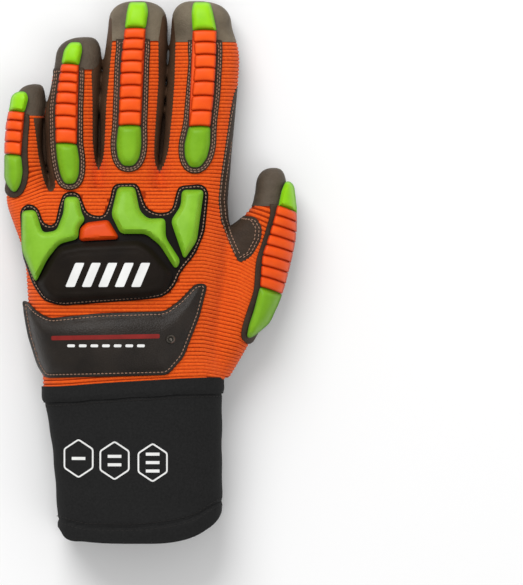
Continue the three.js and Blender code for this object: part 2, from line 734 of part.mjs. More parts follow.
// The pull tab under the cuff: a sewn strap, a label on it and a rubber loop
function makeTab() {
  const centre = cuffLeft * palmWidth + tabAcross * cuffWidth;
  const start = -tabStart * cuffLength;
  const box = (width, upper, lower, from, to) => prism([
    [centre - width / 2, lower],
    [centre + width / 2, lower],
    [centre + width / 2, upper],
    [centre - width / 2, upper],
  ], from, to);
  const strapLow = labelThickness + seamGap;
  const strapEnd = start - strapLength;
  keep("tab_strap", box(strapWidth, start, strapEnd, strapLow, strapLow + strapThickness), webbing);
  const labelStart = start - strapWidth / 4;
  keep("tab_label", box(labelWidth, labelStart, labelStart - labelLength, 0, labelThickness), orangeRubber);
  const loopStart = strapEnd - seamGap;
  const loopEnd = loopStart - loopLength;
  const holeStart = (loopStart + loopEnd + loopHoleLength) / 2;
  const hole = box(loopHoleWidth, holeStart, holeStart - loopHoleLength, -palmHeight, palmHeight);
  const loop = box(loopWidth, loopStart, loopEnd, 0, strapLow + strapThickness);
  keep("tab_loop", loop.subtract(hole), blackRubber);
}

makeHand();
for (const finger of fingers) {
  makeFingerGuard(finger);
}
makeKnuckleGuard();
makeWristPad();
makePalmPatches();
makeCuff();
makeTab();

// The origin is the middle of the glove's box, on the surface that it lies on
const group = new THREE.Group();
for (const piece of pieces.values()) {
  group.add(piece);
}
const bounds = new THREE.Box3().setFromObject(group);
const middle = bounds.getCenter(new THREE.Vector3());
group.position.set(-middle.x, -middle.y, -bounds.min.z);

export default group;
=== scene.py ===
# %% [markdown]
# # An impact glove, dressed for its photograph
#
# The CAD frame gives the glove's size, its pieces and its collision. This lesson builds what the eye
# sees on it: a smooth hand of knit and leather, moulded guards, a padded wrist panel, a soft cuff,
# and the small things that repeat, such as ribs, stitches and grip dots.
# Lengths are in millimetres until a mesh is made. +X is the thumb side, +Y the fingertips, +Z the back.

import math

import bpy
import numpy as np
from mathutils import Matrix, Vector
from mathutils.bvhtree import BVHTree
from mathutils.geometry import delaunay_2d_cdt


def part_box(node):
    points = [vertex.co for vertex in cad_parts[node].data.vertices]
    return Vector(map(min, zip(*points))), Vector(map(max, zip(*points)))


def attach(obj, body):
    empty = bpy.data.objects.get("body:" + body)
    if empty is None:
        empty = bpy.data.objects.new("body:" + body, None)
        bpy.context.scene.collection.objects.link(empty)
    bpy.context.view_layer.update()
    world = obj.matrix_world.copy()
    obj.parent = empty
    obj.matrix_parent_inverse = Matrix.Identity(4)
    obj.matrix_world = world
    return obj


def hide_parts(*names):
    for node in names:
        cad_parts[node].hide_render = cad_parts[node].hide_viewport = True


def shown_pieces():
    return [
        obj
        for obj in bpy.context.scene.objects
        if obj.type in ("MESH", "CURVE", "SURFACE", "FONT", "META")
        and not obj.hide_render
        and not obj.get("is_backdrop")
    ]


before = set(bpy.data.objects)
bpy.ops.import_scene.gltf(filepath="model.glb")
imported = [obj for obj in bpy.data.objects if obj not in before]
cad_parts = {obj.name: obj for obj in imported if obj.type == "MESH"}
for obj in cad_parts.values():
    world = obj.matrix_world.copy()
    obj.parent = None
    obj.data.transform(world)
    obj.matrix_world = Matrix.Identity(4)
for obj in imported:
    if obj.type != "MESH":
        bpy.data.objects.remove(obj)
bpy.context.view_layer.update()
scene = bpy.context.scene
print("CAD nodes:", len(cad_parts))

# %% [markdown]
# The hand's sizes and tables are those of the CAD source, so that the two models match. A station is
# a share of the palm's length, or of a finger's own length from its root.

# %% Sizes of the hand
PALM_WIDTH, PALM_LENGTH, PALM_HEIGHT = 100.0, 100.0, 40.0
SKIN_FLOOR = 1.6
BACK_POWER, PALM_POWER = 2.5, 5.0
TIP_POWER, TIP_HEIGHT_POWER = 2.6, 2.2
WIDEST_LEVEL, TIP_LEVEL = 0.42, 0.4
GUARD_LOWEST = SKIN_FLOOR + 0.25 * PALM_HEIGHT
CUFF_LENGTH, CUFF_WIDTH, CUFF_HEIGHT = 78.0, 90.0, 38.5
CUFF_LEFT, CUFF_FLOOR, CUFF_BAND = 21.0, 2.9, 7.5
PATCH_MARGIN = 3.2

# How the visual model is made: the skin's voxels, the walls and what lies on them
FINGER_GAP, SKIN_VOXEL, SKIN_SHARE, SKIN_EASING = 1.3, 0.66, 0.32, 14
PALM_WALL, KNIT_WALL, LEATHER_WALL, CUFF_SHEET = 1.5, 1.4, 1.3, 2.6
SEWN_BASE, MOULD_BASE, INK = 0.3, 1.5, 0.14
THUMB_TIP = (142.9, 144.9)
DOT_PITCH = 7.6

# Each finger: its root's x and y, then its length, width and height
FINGERS = {
    "little": (12.5, 97.5, 53, 21, 22),
    "ring": (36, 100, 74, 27, 25),
    "middle": (65.5, 100, 92, 32, 26),
    "index": (98, 100, 92, 35, 26),
    "thumb": (112.5, 17.5, 91, 25, 25),
}
# Sections of the palm: station, left, right, low and high, all as shares
PALM_ROWS = [
    (-0.08, 0.22, 1.11, 0.035, 0.97), (0.05, 0.215, 1.12, 0.02, 0.98), (0.2, 0.18, 1.11, 0, 1),
    (0.37, 0.148, 1.12, 0, 1), (0.66, 0.12, 1.15, 0, 0.95), (0.84, 0.058, 1.14, 0, 0.85),
    (0.925, 0.033, 1.135, 0, 0.77), (0.98, 0.035, 1.14, 0.01, 0.67),
]
# Sections of each finger: station, left, right and high, as shares of its own sizes
FINGER_ROWS = {
    "little": [(-0.14, -0.36, 0.75, 1.08), (-0.02, -0.4, 0.67, 1.04), (0.19, -0.37, 0.52, 1),
               (0.36, -0.37, 0.44, 0.97), (0.61, -0.33, 0.43, 0.93), (0.81, -0.22, 0.5, 0.87)],
    "ring": [(-0.12, -0.5, 0.62, 1.1), (0, -0.43, 0.56, 1.06), (0.1, -0.46, 0.525, 1.02),
             (0.15, -0.49, 0.488, 1.01), (0.44, -0.53, 0.5, 0.96), (0.64, -0.43, 0.53, 0.91),
             (0.83, -0.33, 0.56, 0.84)],
    "middle": [(-0.1, -0.62, 0.56, 1.1), (0, -0.57, 0.5, 1.05), (0.09, -0.53, 0.47, 1.02),
               (0.13, -0.51, 0.45, 1.01), (0.41, -0.5, 0.52, 0.96), (0.64, -0.455, 0.565, 0.9),
               (0.86, -0.375, 0.585, 0.82)],
    "index": [(-0.1, -0.64, 0.44, 1.1), (0, -0.585, 0.46, 1.05), (0.09, -0.54, 0.485, 1.02),
              (0.13, -0.515, 0.49, 1.01), (0.41, -0.45, 0.557, 0.96), (0.7, -0.4, 0.61, 0.88),
              (0.86, -0.37, 0.5, 0.82)],
    "thumb": [(-0.16, -0.8, 0.06, 1.1), (0, -0.8, 0.4, 1.12), (0.273, -0.6, 0.92, 1.06),
              (0.546, -0.4, 1.2, 1), (0.64, -0.06, 1.26, 0.97), (0.77, 0.5, 1.27, 0.94),
              (0.874, 0.62, 1.22, 0.89)],
}
# Where each fingertip ends across the finger, in widths from its root's middle
TIPS = {"little": 0.3, "ring": 0.3, "middle": 0.1, "index": -0.03, "thumb": 1.0}
# Sections of the cuff (station, left, right), then the height of the side seam along the hand
CUFF_ROWS = [(-0.12, -0.005, 1.01), (0.11, 0.015, 1), (0.29, 0.045, 1), (0.7, 0.08, 1), (1.12, 0.1, 0.99)]
SEAM_ROWS = [(-0.4, 0.4), (0.4, 0.36), (0.8, 0.28), (1.1, 0.22), (2.3, 0.17)]

# %% Outlines seen from above, as shares of the palm, of a finger or of the cuff
WRIST_LINE = [(-0.2, -0.01), (0.3, -0.01), (0.5, 0.005), (0.75, 0.02), (1, 0.0325), (1.6, 0.035)]
FORKS = {
    "fork_little_ring": [(0.165, 1.34), (0.18, 1.225), (0.19, 1.14), (0.215, 1.025), (0.235, 0.98),
                         (0.255, 0.96), (0.28, 0.985), (0.275, 1.075), (0.26, 1.15), (0.25, 1.32),
                         (0.265, 1.57), (0.2, 1.57), (0.235, 1.42), (0.225, 1.34)],
    "fork_ring_middle": [(0.455, 1.57), (0.46, 1.42), (0.46, 1.22), (0.47, 1.125), (0.4925, 1.065),
                         (0.5175, 1.125), (0.525, 1.185), (0.535, 1.42), (0.55, 1.57), (0.563, 1.71),
                         (0.56, 1.84), (0.52, 1.84), (0.5, 1.68), (0.49, 1.6)],
    "fork_middle_index": [(0.81, 1.85), (0.79, 1.72), (0.79, 1.52), (0.77, 1.225), (0.7675, 1.15),
                          (0.775, 1.095), (0.7975, 1.06), (0.825, 1.105), (0.845, 1.175),
                          (0.865, 1.375), (0.875, 1.52), (0.88, 1.72), (0.868, 1.85)],
}
SIDE_BAND = [(1.185, 1.5), (1.165, 1.45), (1.15, 1.375), (1.125, 1.2), (1.1, 1.025), (1.09, 0.925),
             (1.105, 0.8), (1.155, 0.83), (1.19, 0.9), (1.26, 1.1), (1.27, 1.5)]
KEYSTONE = [(1.11, 0.8), (1.14, 0.725), (1.18, 0.635), (1.2, 0.608), (1.26, 0.645), (1.305, 0.725),
            (1.31, 0.79), (1.28, 0.84), (1.2, 0.845), (1.16, 0.85), (1.105, 0.825)]
KNUCKLE_BASE = [
    (0.1, 0.88), (0.145, 0.91), (0.195, 0.885), (0.22, 0.805), (0.275, 0.795), (0.3, 0.91),
    (0.32, 0.965), (0.395, 0.967), (0.44, 0.855), (0.52, 0.84), (0.55, 0.925), (0.565, 1.005),
    (0.69, 1.01), (0.735, 0.88), (0.8, 0.855), (0.86, 0.87), (0.89, 0.995), (1.015, 1.005),
    (1.045, 0.965), (1.025, 0.765), (0.98, 0.655), (0.905, 0.565), (0.875, 0.49), (0.82, 0.44),
    (0.74, 0.4275), (0.31, 0.395), (0.22, 0.42), (0.165, 0.5), (0.11, 0.65)]
KNUCKLE_GUARDS = {
    "knuckle_guard_left": [
        (0.11, 0.87), (0.18, 0.875), (0.215, 0.76), (0.285, 0.77), (0.32, 0.86), (0.325, 0.94),
        (0.395, 0.94), (0.41, 0.86), (0.43, 0.825), (0.395, 0.785), (0.395, 0.73), (0.3, 0.705),
        (0.24, 0.63), (0.18, 0.51), (0.108, 0.675)],
    "knuckle_guard_middle": [
        (0.59, 0.99), (0.675, 0.99), (0.7, 0.87), (0.74, 0.83), (0.828, 0.833), (0.83, 0.735),
        (0.905, 0.62), (0.88, 0.575), (0.8, 0.7), (0.73, 0.755), (0.605, 0.755), (0.558, 0.85)],
    "knuckle_guard_index": [
        (0.91, 0.975), (1.02, 0.975), (0.985, 0.72), (0.922, 0.625), (0.855, 0.82), (0.905, 0.895)],
}
KNUCKLE_BRIDGE = [(0.41, 0.78), (0.44, 0.805), (0.54, 0.8175), (0.59, 0.735), (0.405, 0.725)]
KNUCKLE_PLATE = [
    (0.29, 0.69), (0.4, 0.7125), (0.7, 0.725), (0.76, 0.69), (0.87, 0.555), (0.83, 0.46),
    (0.74, 0.4375), (0.29, 0.41), (0.235, 0.43), (0.185, 0.505), (0.235, 0.6)]
WRIST_PAD = [
    (0.095, 0.42), (0.135, 0.425), (0.185, 0.37), (0.25, 0.335), (0.5, 0.36), (0.825, 0.37),
    (0.9, 0.425), (0.98, 0.51), (1.04, 0.505), (1, 0.345), (0.92, 0.14), (0.84, 0.05),
    (0.225, 0.035), (0.185, 0.095), (0.135, 0.255)]
PALM_PATCHES = {
    "palm_patch_upper": [
        (0.18, 0.86), (0.35, 0.925), (0.475, 0.945), (0.505, 0.995), (0.555, 1.03), (0.6, 1.035),
        (0.7, 0.985), (0.81, 0.98), (0.885, 1.005), (0.935, 1.02), (0.97, 0.95), (0.965, 0.835),
        (0.94, 0.66), (0.875, 0.61), (0.6, 0.59), (0.22, 0.595), (0.175, 0.65)],
    "palm_patch_lower": [
        (0.18, 0.465), (0.4, 0.475), (0.52, 0.51), (0.73, 0.535), (0.845, 0.505), (0.87, 0.465),
        (0.865, 0.36), (0.83, 0.155), (0.73, 0.055), (0.52, 0.03), (0.35, 0.03), (0.25, 0.06),
        (0.2, 0.2)],
}
# Each guard: its ribs, where they start and end along the finger, and how each rib grows
GUARDS = {
    "little": (4, 0.736, 0.33, 0.13), "ring": (7, 0.811, 0.277, 0.11), "middle": (8, 0.848, 0.32, 0.045),
    "index": (7, 0.837, 0.315, 0.05), "thumb": (8, 0.765, 0.317, 0.02),
}
# Width of each guard: station, left and right, from its tip to its root
GUARD_ROWS = {
    "little": [(0.915, -0.21, 0.02), (0.868, -0.4, 0.083), (0.736, -0.6, -0.01), (0.519, -0.6, -0.07),
               (0.33, -0.6, -0.09), (0.17, -0.55, -0.05), (0.057, -0.45, -0.1), (-0.019, -0.3, -0.21)],
    "ring": [(0.953, -0.04, 0.167), (0.912, -0.148, 0.194), (0.811, -0.2, 0.13), (0.676, -0.26, 0.11),
             (0.507, -0.315, 0.093), (0.277, -0.3, 0.093), (0.169, -0.27, 0.139), (0.068, -0.213, 0.13),
             (0.007, -0.13, 0.056)],
    "middle": [(0.972, -0.03, 0.24), (0.94, -0.065, 0.27), (0.842, -0.1, 0.227), (0.679, -0.156, 0.19),
               (0.462, -0.18, 0.172), (0.32, -0.195, 0.156), (0.217, -0.227, 0.164),
               (0.147, -0.203, 0.133), (0.103, -0.125, 0.047)],
    "index": [(0.972, -0.04, 0.2), (0.94, -0.064, 0.24), (0.842, -0.05, 0.293), (0.679, -0.014, 0.286),
              (0.489, -0.057, 0.257), (0.33, -0.093, 0.207), (0.217, -0.164, 0.2),
              (0.147, -0.157, 0.157), (0.095, -0.086, 0.057)],
    "thumb": [(0.92, 1.18, 1.4), (0.874, 1.13, 1.5), (0.781, 1.06, 1.6), (0.71, 1, 1.6),
              (0.596, 0.88, 1.55), (0.486, 0.74, 1.5), (0.393, 0.72, 1.4), (0.317, 0.7, 1.3),
              (0.219, 0.58, 1.1), (0.137, 0.48, 0.86), (0.066, 0.43, 0.54)],
}
# Leather of each fingertip: where it starts, its left and right there, then past the tip
CAPS = {
    "little": (0.7, -0.9, 0.455, -0.9, 0.7), "ring": (0.78, -0.6, 0.55, -0.6, 0.55),
    "middle": (0.783, -0.46, 0.58, -0.42, 0.6), "index": (0.777, -0.4, 0.9, -0.38, 0.9),
    "thumb": (0.79, 0.2, 1.9, 0.2, 1.9),
}
CUFF_END = [(-0.2, 0.9), (0.09, 0.91), (0.13, 0.975), (0.24, 1), (0.6, 1.013), (0.805, 0.984),
            (0.905, 0.93), (0.98, 0.853), (1.01, 0.78), (1.3, 0.75)]
HEM_LINE = [(-0.2, 0.84), (0.09, 0.86), (0.27, 0.905), (0.6, 0.9), (0.85, 0.84), (0.95, 0.77), (1.3, 0.62)]

# Middle lines of the leather strips between the roots of the fingers, in millimetres
WEBS = {
    "web_little_ring": [(24.8, 99), (23.8, 112), (22.6, 126), (22.6, 140)],
    "web_ring_middle": [(49.6, 108), (50, 120), (50.6, 134), (51.4, 150)],
    "web_middle_index": [(80.6, 108), (81.6, 120), (82.6, 134), (83.6, 150)],
}
WEB_HALF, WEB_TOP, WEB_FALL, WEB_WALL = 2.4, 13, 3, 2


def on_palm(points):
    """Shares of the palm's width and length as millimetres."""
    return np.array([(a * PALM_WIDTH, b * PALM_LENGTH) for a, b in points])


def on_finger(name, points):
    """Shares of a finger's width and length, from its root, as millimetres."""
    x, y, length, width, _ = FINGERS[name]
    return np.array([(x + a * width, y + b * length) for a, b in points])


def on_cuff(points):
    """Shares of the cuff's width and length, from its left corner, as millimetres."""
    return np.array([(CUFF_LEFT + a * CUFF_WIDTH, -b * CUFF_LENGTH) for a, b in points])


label_low, label_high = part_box("tab_label")
TAB_X, TAB_TOP = CUFF_LEFT + 0.46 * CUFF_WIDTH, -0.13 * CUFF_LENGTH
SHIFT = np.array([
    (label_low.x + label_high.x) * 500 - TAB_X,
    label_high.y * 1000 - (TAB_TOP - 5),
    0.0,
])
print("shift to the shared frame, mm:", SHIFT.round(3))

# %% [markdown]
# Outlines are rounded at their corners and walked in even steps. The distance of a point to an
# outline, positive inside, later gives every pad its bevel and every seam its cut.

# %% Outlines
def rounded(points, radius, steps=5):
    """An outline with its corners rounded."""
    points = np.asarray(points, float)
    result = []
    for k, corner in enumerate(points):
        before, after = points[k - 1], points[(k + 1) % len(points)]
        start, end = (
            corner + (to - corner) * min(radius / np.linalg.norm(to - corner), 0.47)
            for to in (before, after)
        )
        for t in np.linspace(0, 1, steps + 1):
            result.append((1 - t) ** 2 * start + 2 * t * (1 - t) * corner + t**2 * end)
    return np.array(result)


def walked(points, step, closed=True):
    """The same line or outline in even steps."""
    points = np.asarray(points, float)
    loop = np.vstack([points, points[:1]]) if closed else points
    lengths = np.linalg.norm(np.diff(loop, axis=0), axis=1)
    along = np.concatenate([[0], np.cumsum(lengths)])
    count = max(3, int(round(along[-1] / step)))
    stations = np.linspace(0, along[-1], count + 1)
    if closed:
        stations = stations[:-1]
    return np.stack([np.interp(stations, along, loop[:, k]) for k in range(loop.shape[1])], 1)


def edge_distance(points, outline):
    """How far each point is from an outline, positive inside it."""
    points = np.asarray(points, float)[:, :2]
    best = np.full(len(points), 1e9)
    inside = np.zeros(len(points), bool)
    x, y = points[:, 0], points[:, 1]
    for a, b in zip(outline, np.roll(outline, -1, axis=0)):
        side = b - a
        t = np.clip(((points - a) @ side) / max(side @ side, 1e-12), 0, 1)
        best = np.minimum(best, np.linalg.norm(points - a - t[:, None] * side, axis=1))
        crosses = (a[1] > y) != (b[1] > y)
        level = (b[0] - a[0]) * (y - a[1]) / (b[1] - a[1] if b[1] != a[1] else 1e-12) + a[0]
        inside ^= crosses & (x < level)
    return np.where(inside, best, -best)


def line_distance(points, line):
    """How far each point is from an open line."""
    points = np.asarray(points, float)[:, :2]
    line = np.asarray(line, float)
    best = np.full(len(points), 1e9)
    for a, b in zip(line[:-1], line[1:]):
        side = b - a
        t = np.clip(((points - a) @ side) / (side @ side), 0, 1)
        best = np.minimum(best, np.linalg.norm(points - a - t[:, None] * side, axis=1))
    return best


def moved(outline, distance):
    """An outline moved outwards, or inwards where the distance is negative."""
    outline = np.asarray(outline, float)
    ahead = np.roll(outline, -1, axis=0) - np.roll(outline, 1, axis=0)
    normal = np.stack([ahead[:, 1], -ahead[:, 0]], 1)
    normal /= np.linalg.norm(normal, axis=1)[:, None] + 1e-9
    x, y = outline[:, 0], outline[:, 1]
    side = np.sign(np.sum(x * np.roll(y, -1) - np.roll(x, -1) * y))
    result = outline + normal * side * distance
    if distance < 0:
        result = result[edge_distance(result, outline) > -distance * 0.96]
    return result


def smoothstep(value):
    """A soft step from 0 to 1."""
    value = np.clip(value, 0, 1)
    return value * value * (3 - 2 * value)


# %% [markdown]
# Meshes are kept as plain arrays of corners and triangles, and turned into Blender objects at the
# end of each step. A sheet can be cut along any curve, and thickened inwards to a closed wall.

# %% Meshes
def placed(name, data):
    """A new object in the scene, at the origin."""
    piece = bpy.data.objects.new(name, data)
    scene.collection.objects.link(piece)
    return piece


def made_mesh(source):
    """The mesh that an object's modifiers make. The object itself goes."""
    graph = bpy.context.evaluated_depsgraph_get()
    made = bpy.data.meshes.new_from_object(source.evaluated_get(graph))
    bpy.data.objects.remove(source)
    return made


def make_object(name, verts, faces, material, slot=None, replaces=(), sharp=50, edge=None):
    """A visible piece from corners in millimetres, with the nodes that it stands for."""
    mesh = bpy.data.meshes.new(name)
    verts = (np.asarray(verts, float) + SHIFT) / 1000
    mesh.from_pydata(verts.tolist(), [], [list(map(int, f)) for f in faces])
    mesh.update()
    if edge is not None:
        depth = mesh.attributes.new("edge", "FLOAT", "POINT")
        depth.data.foreach_set("value", np.asarray(edge, np.float32))
    mesh.shade_smooth()
    mesh.set_sharp_from_angle(angle=math.radians(sharp))
    mesh.materials.append(material)
    piece = placed(name, mesh)
    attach(piece, "root")
    if replaces:
        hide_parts(*replaces)
    return piece


def joined(parts):
    """Several meshes as one, with the edge distance of each corner."""
    verts, faces, edges, start = [], [], [], 0
    for part in parts:
        verts.append(part[0])
        faces.append(np.asarray(part[1]) + start)
        edges.append(part[2] if len(part) > 2 else np.full(len(part[0]), 9.0))
        start += len(part[0])
    return np.vstack(verts), np.vstack(faces), np.concatenate(edges)


def cut(verts, tris, value):
    """The parts of a mesh where value is positive, and where it isn't."""
    value = np.where(np.abs(value) < 1e-6, 1e-6, value)
    above = value[tris] > 0
    count = above.sum(1)
    keep, drop = [tris[count == 3]], [tris[count == 0]]
    start = len(verts)
    mixed = tris[(count == 1) | (count == 2)]
    if len(mixed):
        lone_above = (value[mixed] > 0).sum(1) == 1
        lone = np.argmax((value[mixed] > 0) == lone_above[:, None], axis=1)
        rows = np.arange(len(mixed))
        a, b, c = (mixed[rows, (lone + k) % 3] for k in range(3))
        pairs = np.sort(np.vstack([np.stack([a, b], 1), np.stack([a, c], 1)]), axis=1)
        unique, inverse = np.unique(pairs, axis=0, return_inverse=True)
        inverse = inverse.ravel()
        t = value[unique[:, 0]] / (value[unique[:, 0]] - value[unique[:, 1]])
        new = verts[unique[:, 0]] * (1 - t)[:, None] + verts[unique[:, 1]] * t[:, None]
        ab, ac = start + inverse[: len(mixed)], start + inverse[len(mixed):]
        tip = np.stack([a, ab, ac], 1)
        rest = np.vstack([np.stack([ab, b, c], 1), np.stack([ab, c, ac], 1)])
        twice = np.concatenate([lone_above, lone_above])
        keep += [tip[lone_above], rest[~twice]]
        drop += [tip[~lone_above], rest[twice]]
        verts = np.vstack([verts, new])
    return compact(verts, np.vstack(keep)), compact(verts, np.vstack(drop))


def compact(verts, tris):
    """A mesh without its unused corners and collapsed triangles."""
    used, inverse = np.unique(tris.ravel(), return_inverse=True)
    tris = inverse.reshape(-1, 3)
    good = (tris[:, 0] != tris[:, 1]) & (tris[:, 1] != tris[:, 2]) & (tris[:, 0] != tris[:, 2])
    return verts[used], tris[good]


def vertex_normals(verts, tris):
    """The outward direction at each corner."""
    corners = verts[tris]
    face = np.cross(corners[:, 1] - corners[:, 0], corners[:, 2] - corners[:, 0])
    result = np.zeros_like(verts)
    for k in range(3):
        np.add.at(result, tris[:, k], face)
    return result / (np.linalg.norm(result, axis=1)[:, None] + 1e-12)


def mesh_sides(tris):
    """Every side of every triangle, in its own direction."""
    return np.vstack([tris[:, [0, 1]], tris[:, [1, 2]], tris[:, [2, 0]]])


def thick_pair(top, bottom, tris):
    """Two equal sheets joined round their rims to a closed wall."""
    count = len(top)
    sides = mesh_sides(tris)
    _, first, times = np.unique(np.sort(sides, axis=1), axis=0, return_index=True, return_counts=True)
    rim = sides[first[times == 1]]
    walls = np.vstack([
        np.stack([rim[:, 1], rim[:, 0], rim[:, 0] + count], 1),
        np.stack([rim[:, 1], rim[:, 0] + count, rim[:, 1] + count], 1),
    ])
    return np.vstack([top, bottom]), np.vstack([tris, tris[:, ::-1] + count, walls])


def thickened(verts, tris, inwards, outwards=0.0):
    """A sheet as a closed wall."""
    normal = vertex_normals(verts, tris)
    return thick_pair(verts + normal * outwards, verts - normal * inwards, tris)


# %% [markdown]
# The body of the hand starts as five finger tubes and one palm, each a row of rounded sections.
# Joined, they are wrapped again by a fine voxel skin and relaxed, so that the fingers grow out of
# the palm without a crease, as cloth does over knuckles.

# %% The skin of the hand
def eased(table, stations):
    """Each column of a table, followed smoothly between its rows."""
    table = np.asarray(table, float)
    x = table[:, 0]
    slope = np.diff(table, axis=0) / np.diff(x)[:, None]
    tangent = np.vstack([slope[:1], (slope[:-1] + slope[1:]) / 2, slope[-1:]])
    tangent[1:-1][slope[:-1] * slope[1:] < 0] = 0
    k = np.clip(np.searchsorted(x, stations, side="right") - 1, 0, len(x) - 2)
    h = (x[k + 1] - x[k])[:, None]
    t = ((stations - x[k]) / (x[k + 1] - x[k]))[:, None]
    p, q, m, n = table[k], table[k + 1], tangent[k], tangent[k + 1]
    return (
        (2 * t**3 - 3 * t**2 + 1) * p + (t**3 - 2 * t**2 + t) * h * m
        + (3 * t**2 - 2 * t**3) * q + (t**3 - t**2) * h * n
    )


def section(left, right, y, low, high, sides):
    """One rounded section across the hand, a finger or the cuff."""
    angle = 2 * np.pi * (np.arange(sides) + 0.5) / sides
    rise = np.sin(angle)
    power = np.where(rise > 0, BACK_POWER, PALM_POWER)
    level = low + (high - low) * WIDEST_LEVEL
    height = np.where(rise > 0, high - level, level - low)
    across = np.sign(np.cos(angle)) * np.abs(np.cos(angle)) ** (2 / power)
    up = np.sign(rise) * np.abs(rise) ** (2 / power)
    x = (left + right) / 2 + (right - left) / 2 * across
    return np.stack([x, np.full(sides, y), level + height * up], 1)


def loft(rings):
    """A closed tube through a row of sections."""
    sides = len(rings[0])
    ends = [np.mean(rings[k], axis=0)[None] for k in (0, -1)]
    verts = np.vstack(list(rings) + ends)
    tris = []
    for row in range(len(rings) - 1):
        for side in range(sides):
            here, there = row * sides + side, row * sides + (side + 1) % sides
            tris += [(here, here + sides, there), (there, here + sides, there + sides)]
    last = (len(rings) - 1) * sides
    for side in range(sides):
        after = (side + 1) % sides
        tris.append((len(verts) - 2, side, after))
        tris.append((len(verts) - 1, last + after, last + side))
    return verts, np.array(tris)


def palm_rings(sides=72):
    stations = np.linspace(PALM_ROWS[0][0], PALM_ROWS[-1][0], 40)
    rows = eased(PALM_ROWS, stations)
    return [
        section(r[1] * PALM_WIDTH, r[2] * PALM_WIDTH, r[0] * PALM_LENGTH,
                SKIN_FLOOR + r[3] * PALM_HEIGHT, SKIN_FLOOR + r[4] * PALM_HEIGHT, sides)
        for r in rows
    ]


def finger_rings(name, gap, sides=48):
    x, y, length, width, height = FINGERS[name]
    table = FINGER_ROWS[name]
    gap_left = 0 if name in ("thumb", "little") else gap / 2
    gap_right = 0 if name in ("thumb", "index") else gap / 2
    rows = eased(table, np.linspace(table[0][0], table[-1][0], 40))
    rings = [
        section(x + r[1] * width + gap_left, x + r[2] * width - gap_right, y + r[0] * length,
                SKIN_FLOOR, SKIN_FLOOR + r[3] * height, sides)
        for r in rows
    ]
    left, right = x + table[-1][1] * width + gap_left, x + table[-1][2] * width - gap_right
    low, high = SKIN_FLOOR, SKIN_FLOOR + table[-1][3] * height
    tip_x, tip_z = x + TIPS[name] * width, low + (high - low) * TIP_LEVEL
    start, end = y + table[-1][0] * length, y + length
    for share in (0.12, 0.25, 0.38, 0.5, 0.61, 0.71, 0.8, 0.87, 0.93, 0.97, 0.993):
        wide = (1 - share**TIP_POWER) ** (1 / TIP_POWER)
        tall = (1 - share**TIP_HEIGHT_POWER) ** (1 / TIP_HEIGHT_POWER)
        rings.append(section(
            tip_x + (left - tip_x) * wide, tip_x + (right - tip_x) * wide, start + (end - start) * share,
            tip_z + (low - tip_z) * tall, tip_z + (high - tip_z) * tall, sides))
    return rings


def relaxed(verts, tris, times, weight=0.5):
    """A mesh with each corner drawn to the middle of its neighbours."""
    sides = np.unique(np.sort(mesh_sides(tris), axis=1), axis=0)
    degree = np.bincount(sides.ravel(), minlength=len(verts))[:, None]
    for _ in range(times):
        total = np.zeros_like(verts)
        np.add.at(total, sides[:, 0], verts[sides[:, 1]])
        np.add.at(total, sides[:, 1], verts[sides[:, 0]])
        verts = verts + (total / np.maximum(degree, 1) - verts) * weight
    return verts


def voxel_skin(parts, voxel, ratio):
    """One smooth skin round several closed parts."""
    verts, tris, _ = joined(parts)
    mesh = bpy.data.meshes.new("skin_source")
    mesh.from_pydata((verts / 1000).tolist(), [], tris.tolist())
    source = placed("skin_source", mesh)
    remesh = source.modifiers.new("voxels", "REMESH")
    remesh.mode = "VOXEL"
    remesh.voxel_size = voxel / 1000
    thinner = source.modifiers.new("thinner", "DECIMATE")
    thinner.ratio = ratio
    made = made_mesh(source)
    made.calc_loop_triangles()
    corners = np.empty(len(made.vertices) * 3)
    made.vertices.foreach_get("co", corners)
    faces = np.empty(len(made.loop_triangles) * 3, int)
    made.loop_triangles.foreach_get("vertices", faces)
    return corners.reshape(-1, 3) * 1000, faces.reshape(-1, 3)


hand_parts = [loft(palm_rings())] + [loft(finger_rings(name, FINGER_GAP)) for name in FINGERS]
skin_verts, skin_tris = voxel_skin(hand_parts, SKIN_VOXEL, SKIN_SHARE)
skin_verts = relaxed(skin_verts, skin_tris, SKIN_EASING)
volume = np.einsum("ij,ij->", skin_verts[skin_tris[:, 0]],
                   np.cross(skin_verts[skin_tris[:, 1]], skin_verts[skin_tris[:, 2]])) / 6
if volume < 0:
    skin_tris = skin_tris[:, ::-1]
print("skin:", len(skin_tris), "triangles", round(abs(volume) / 1000), "ml")

# %% [markdown]
# Everything sewn on the hand needs to know how high the skin lies under it. A map of heights,
# seen from above, is grown by a ball, once for each height that a pad can have over the skin. It
# gives the level of a pad's top, and of its sides, even where the hand curves away.

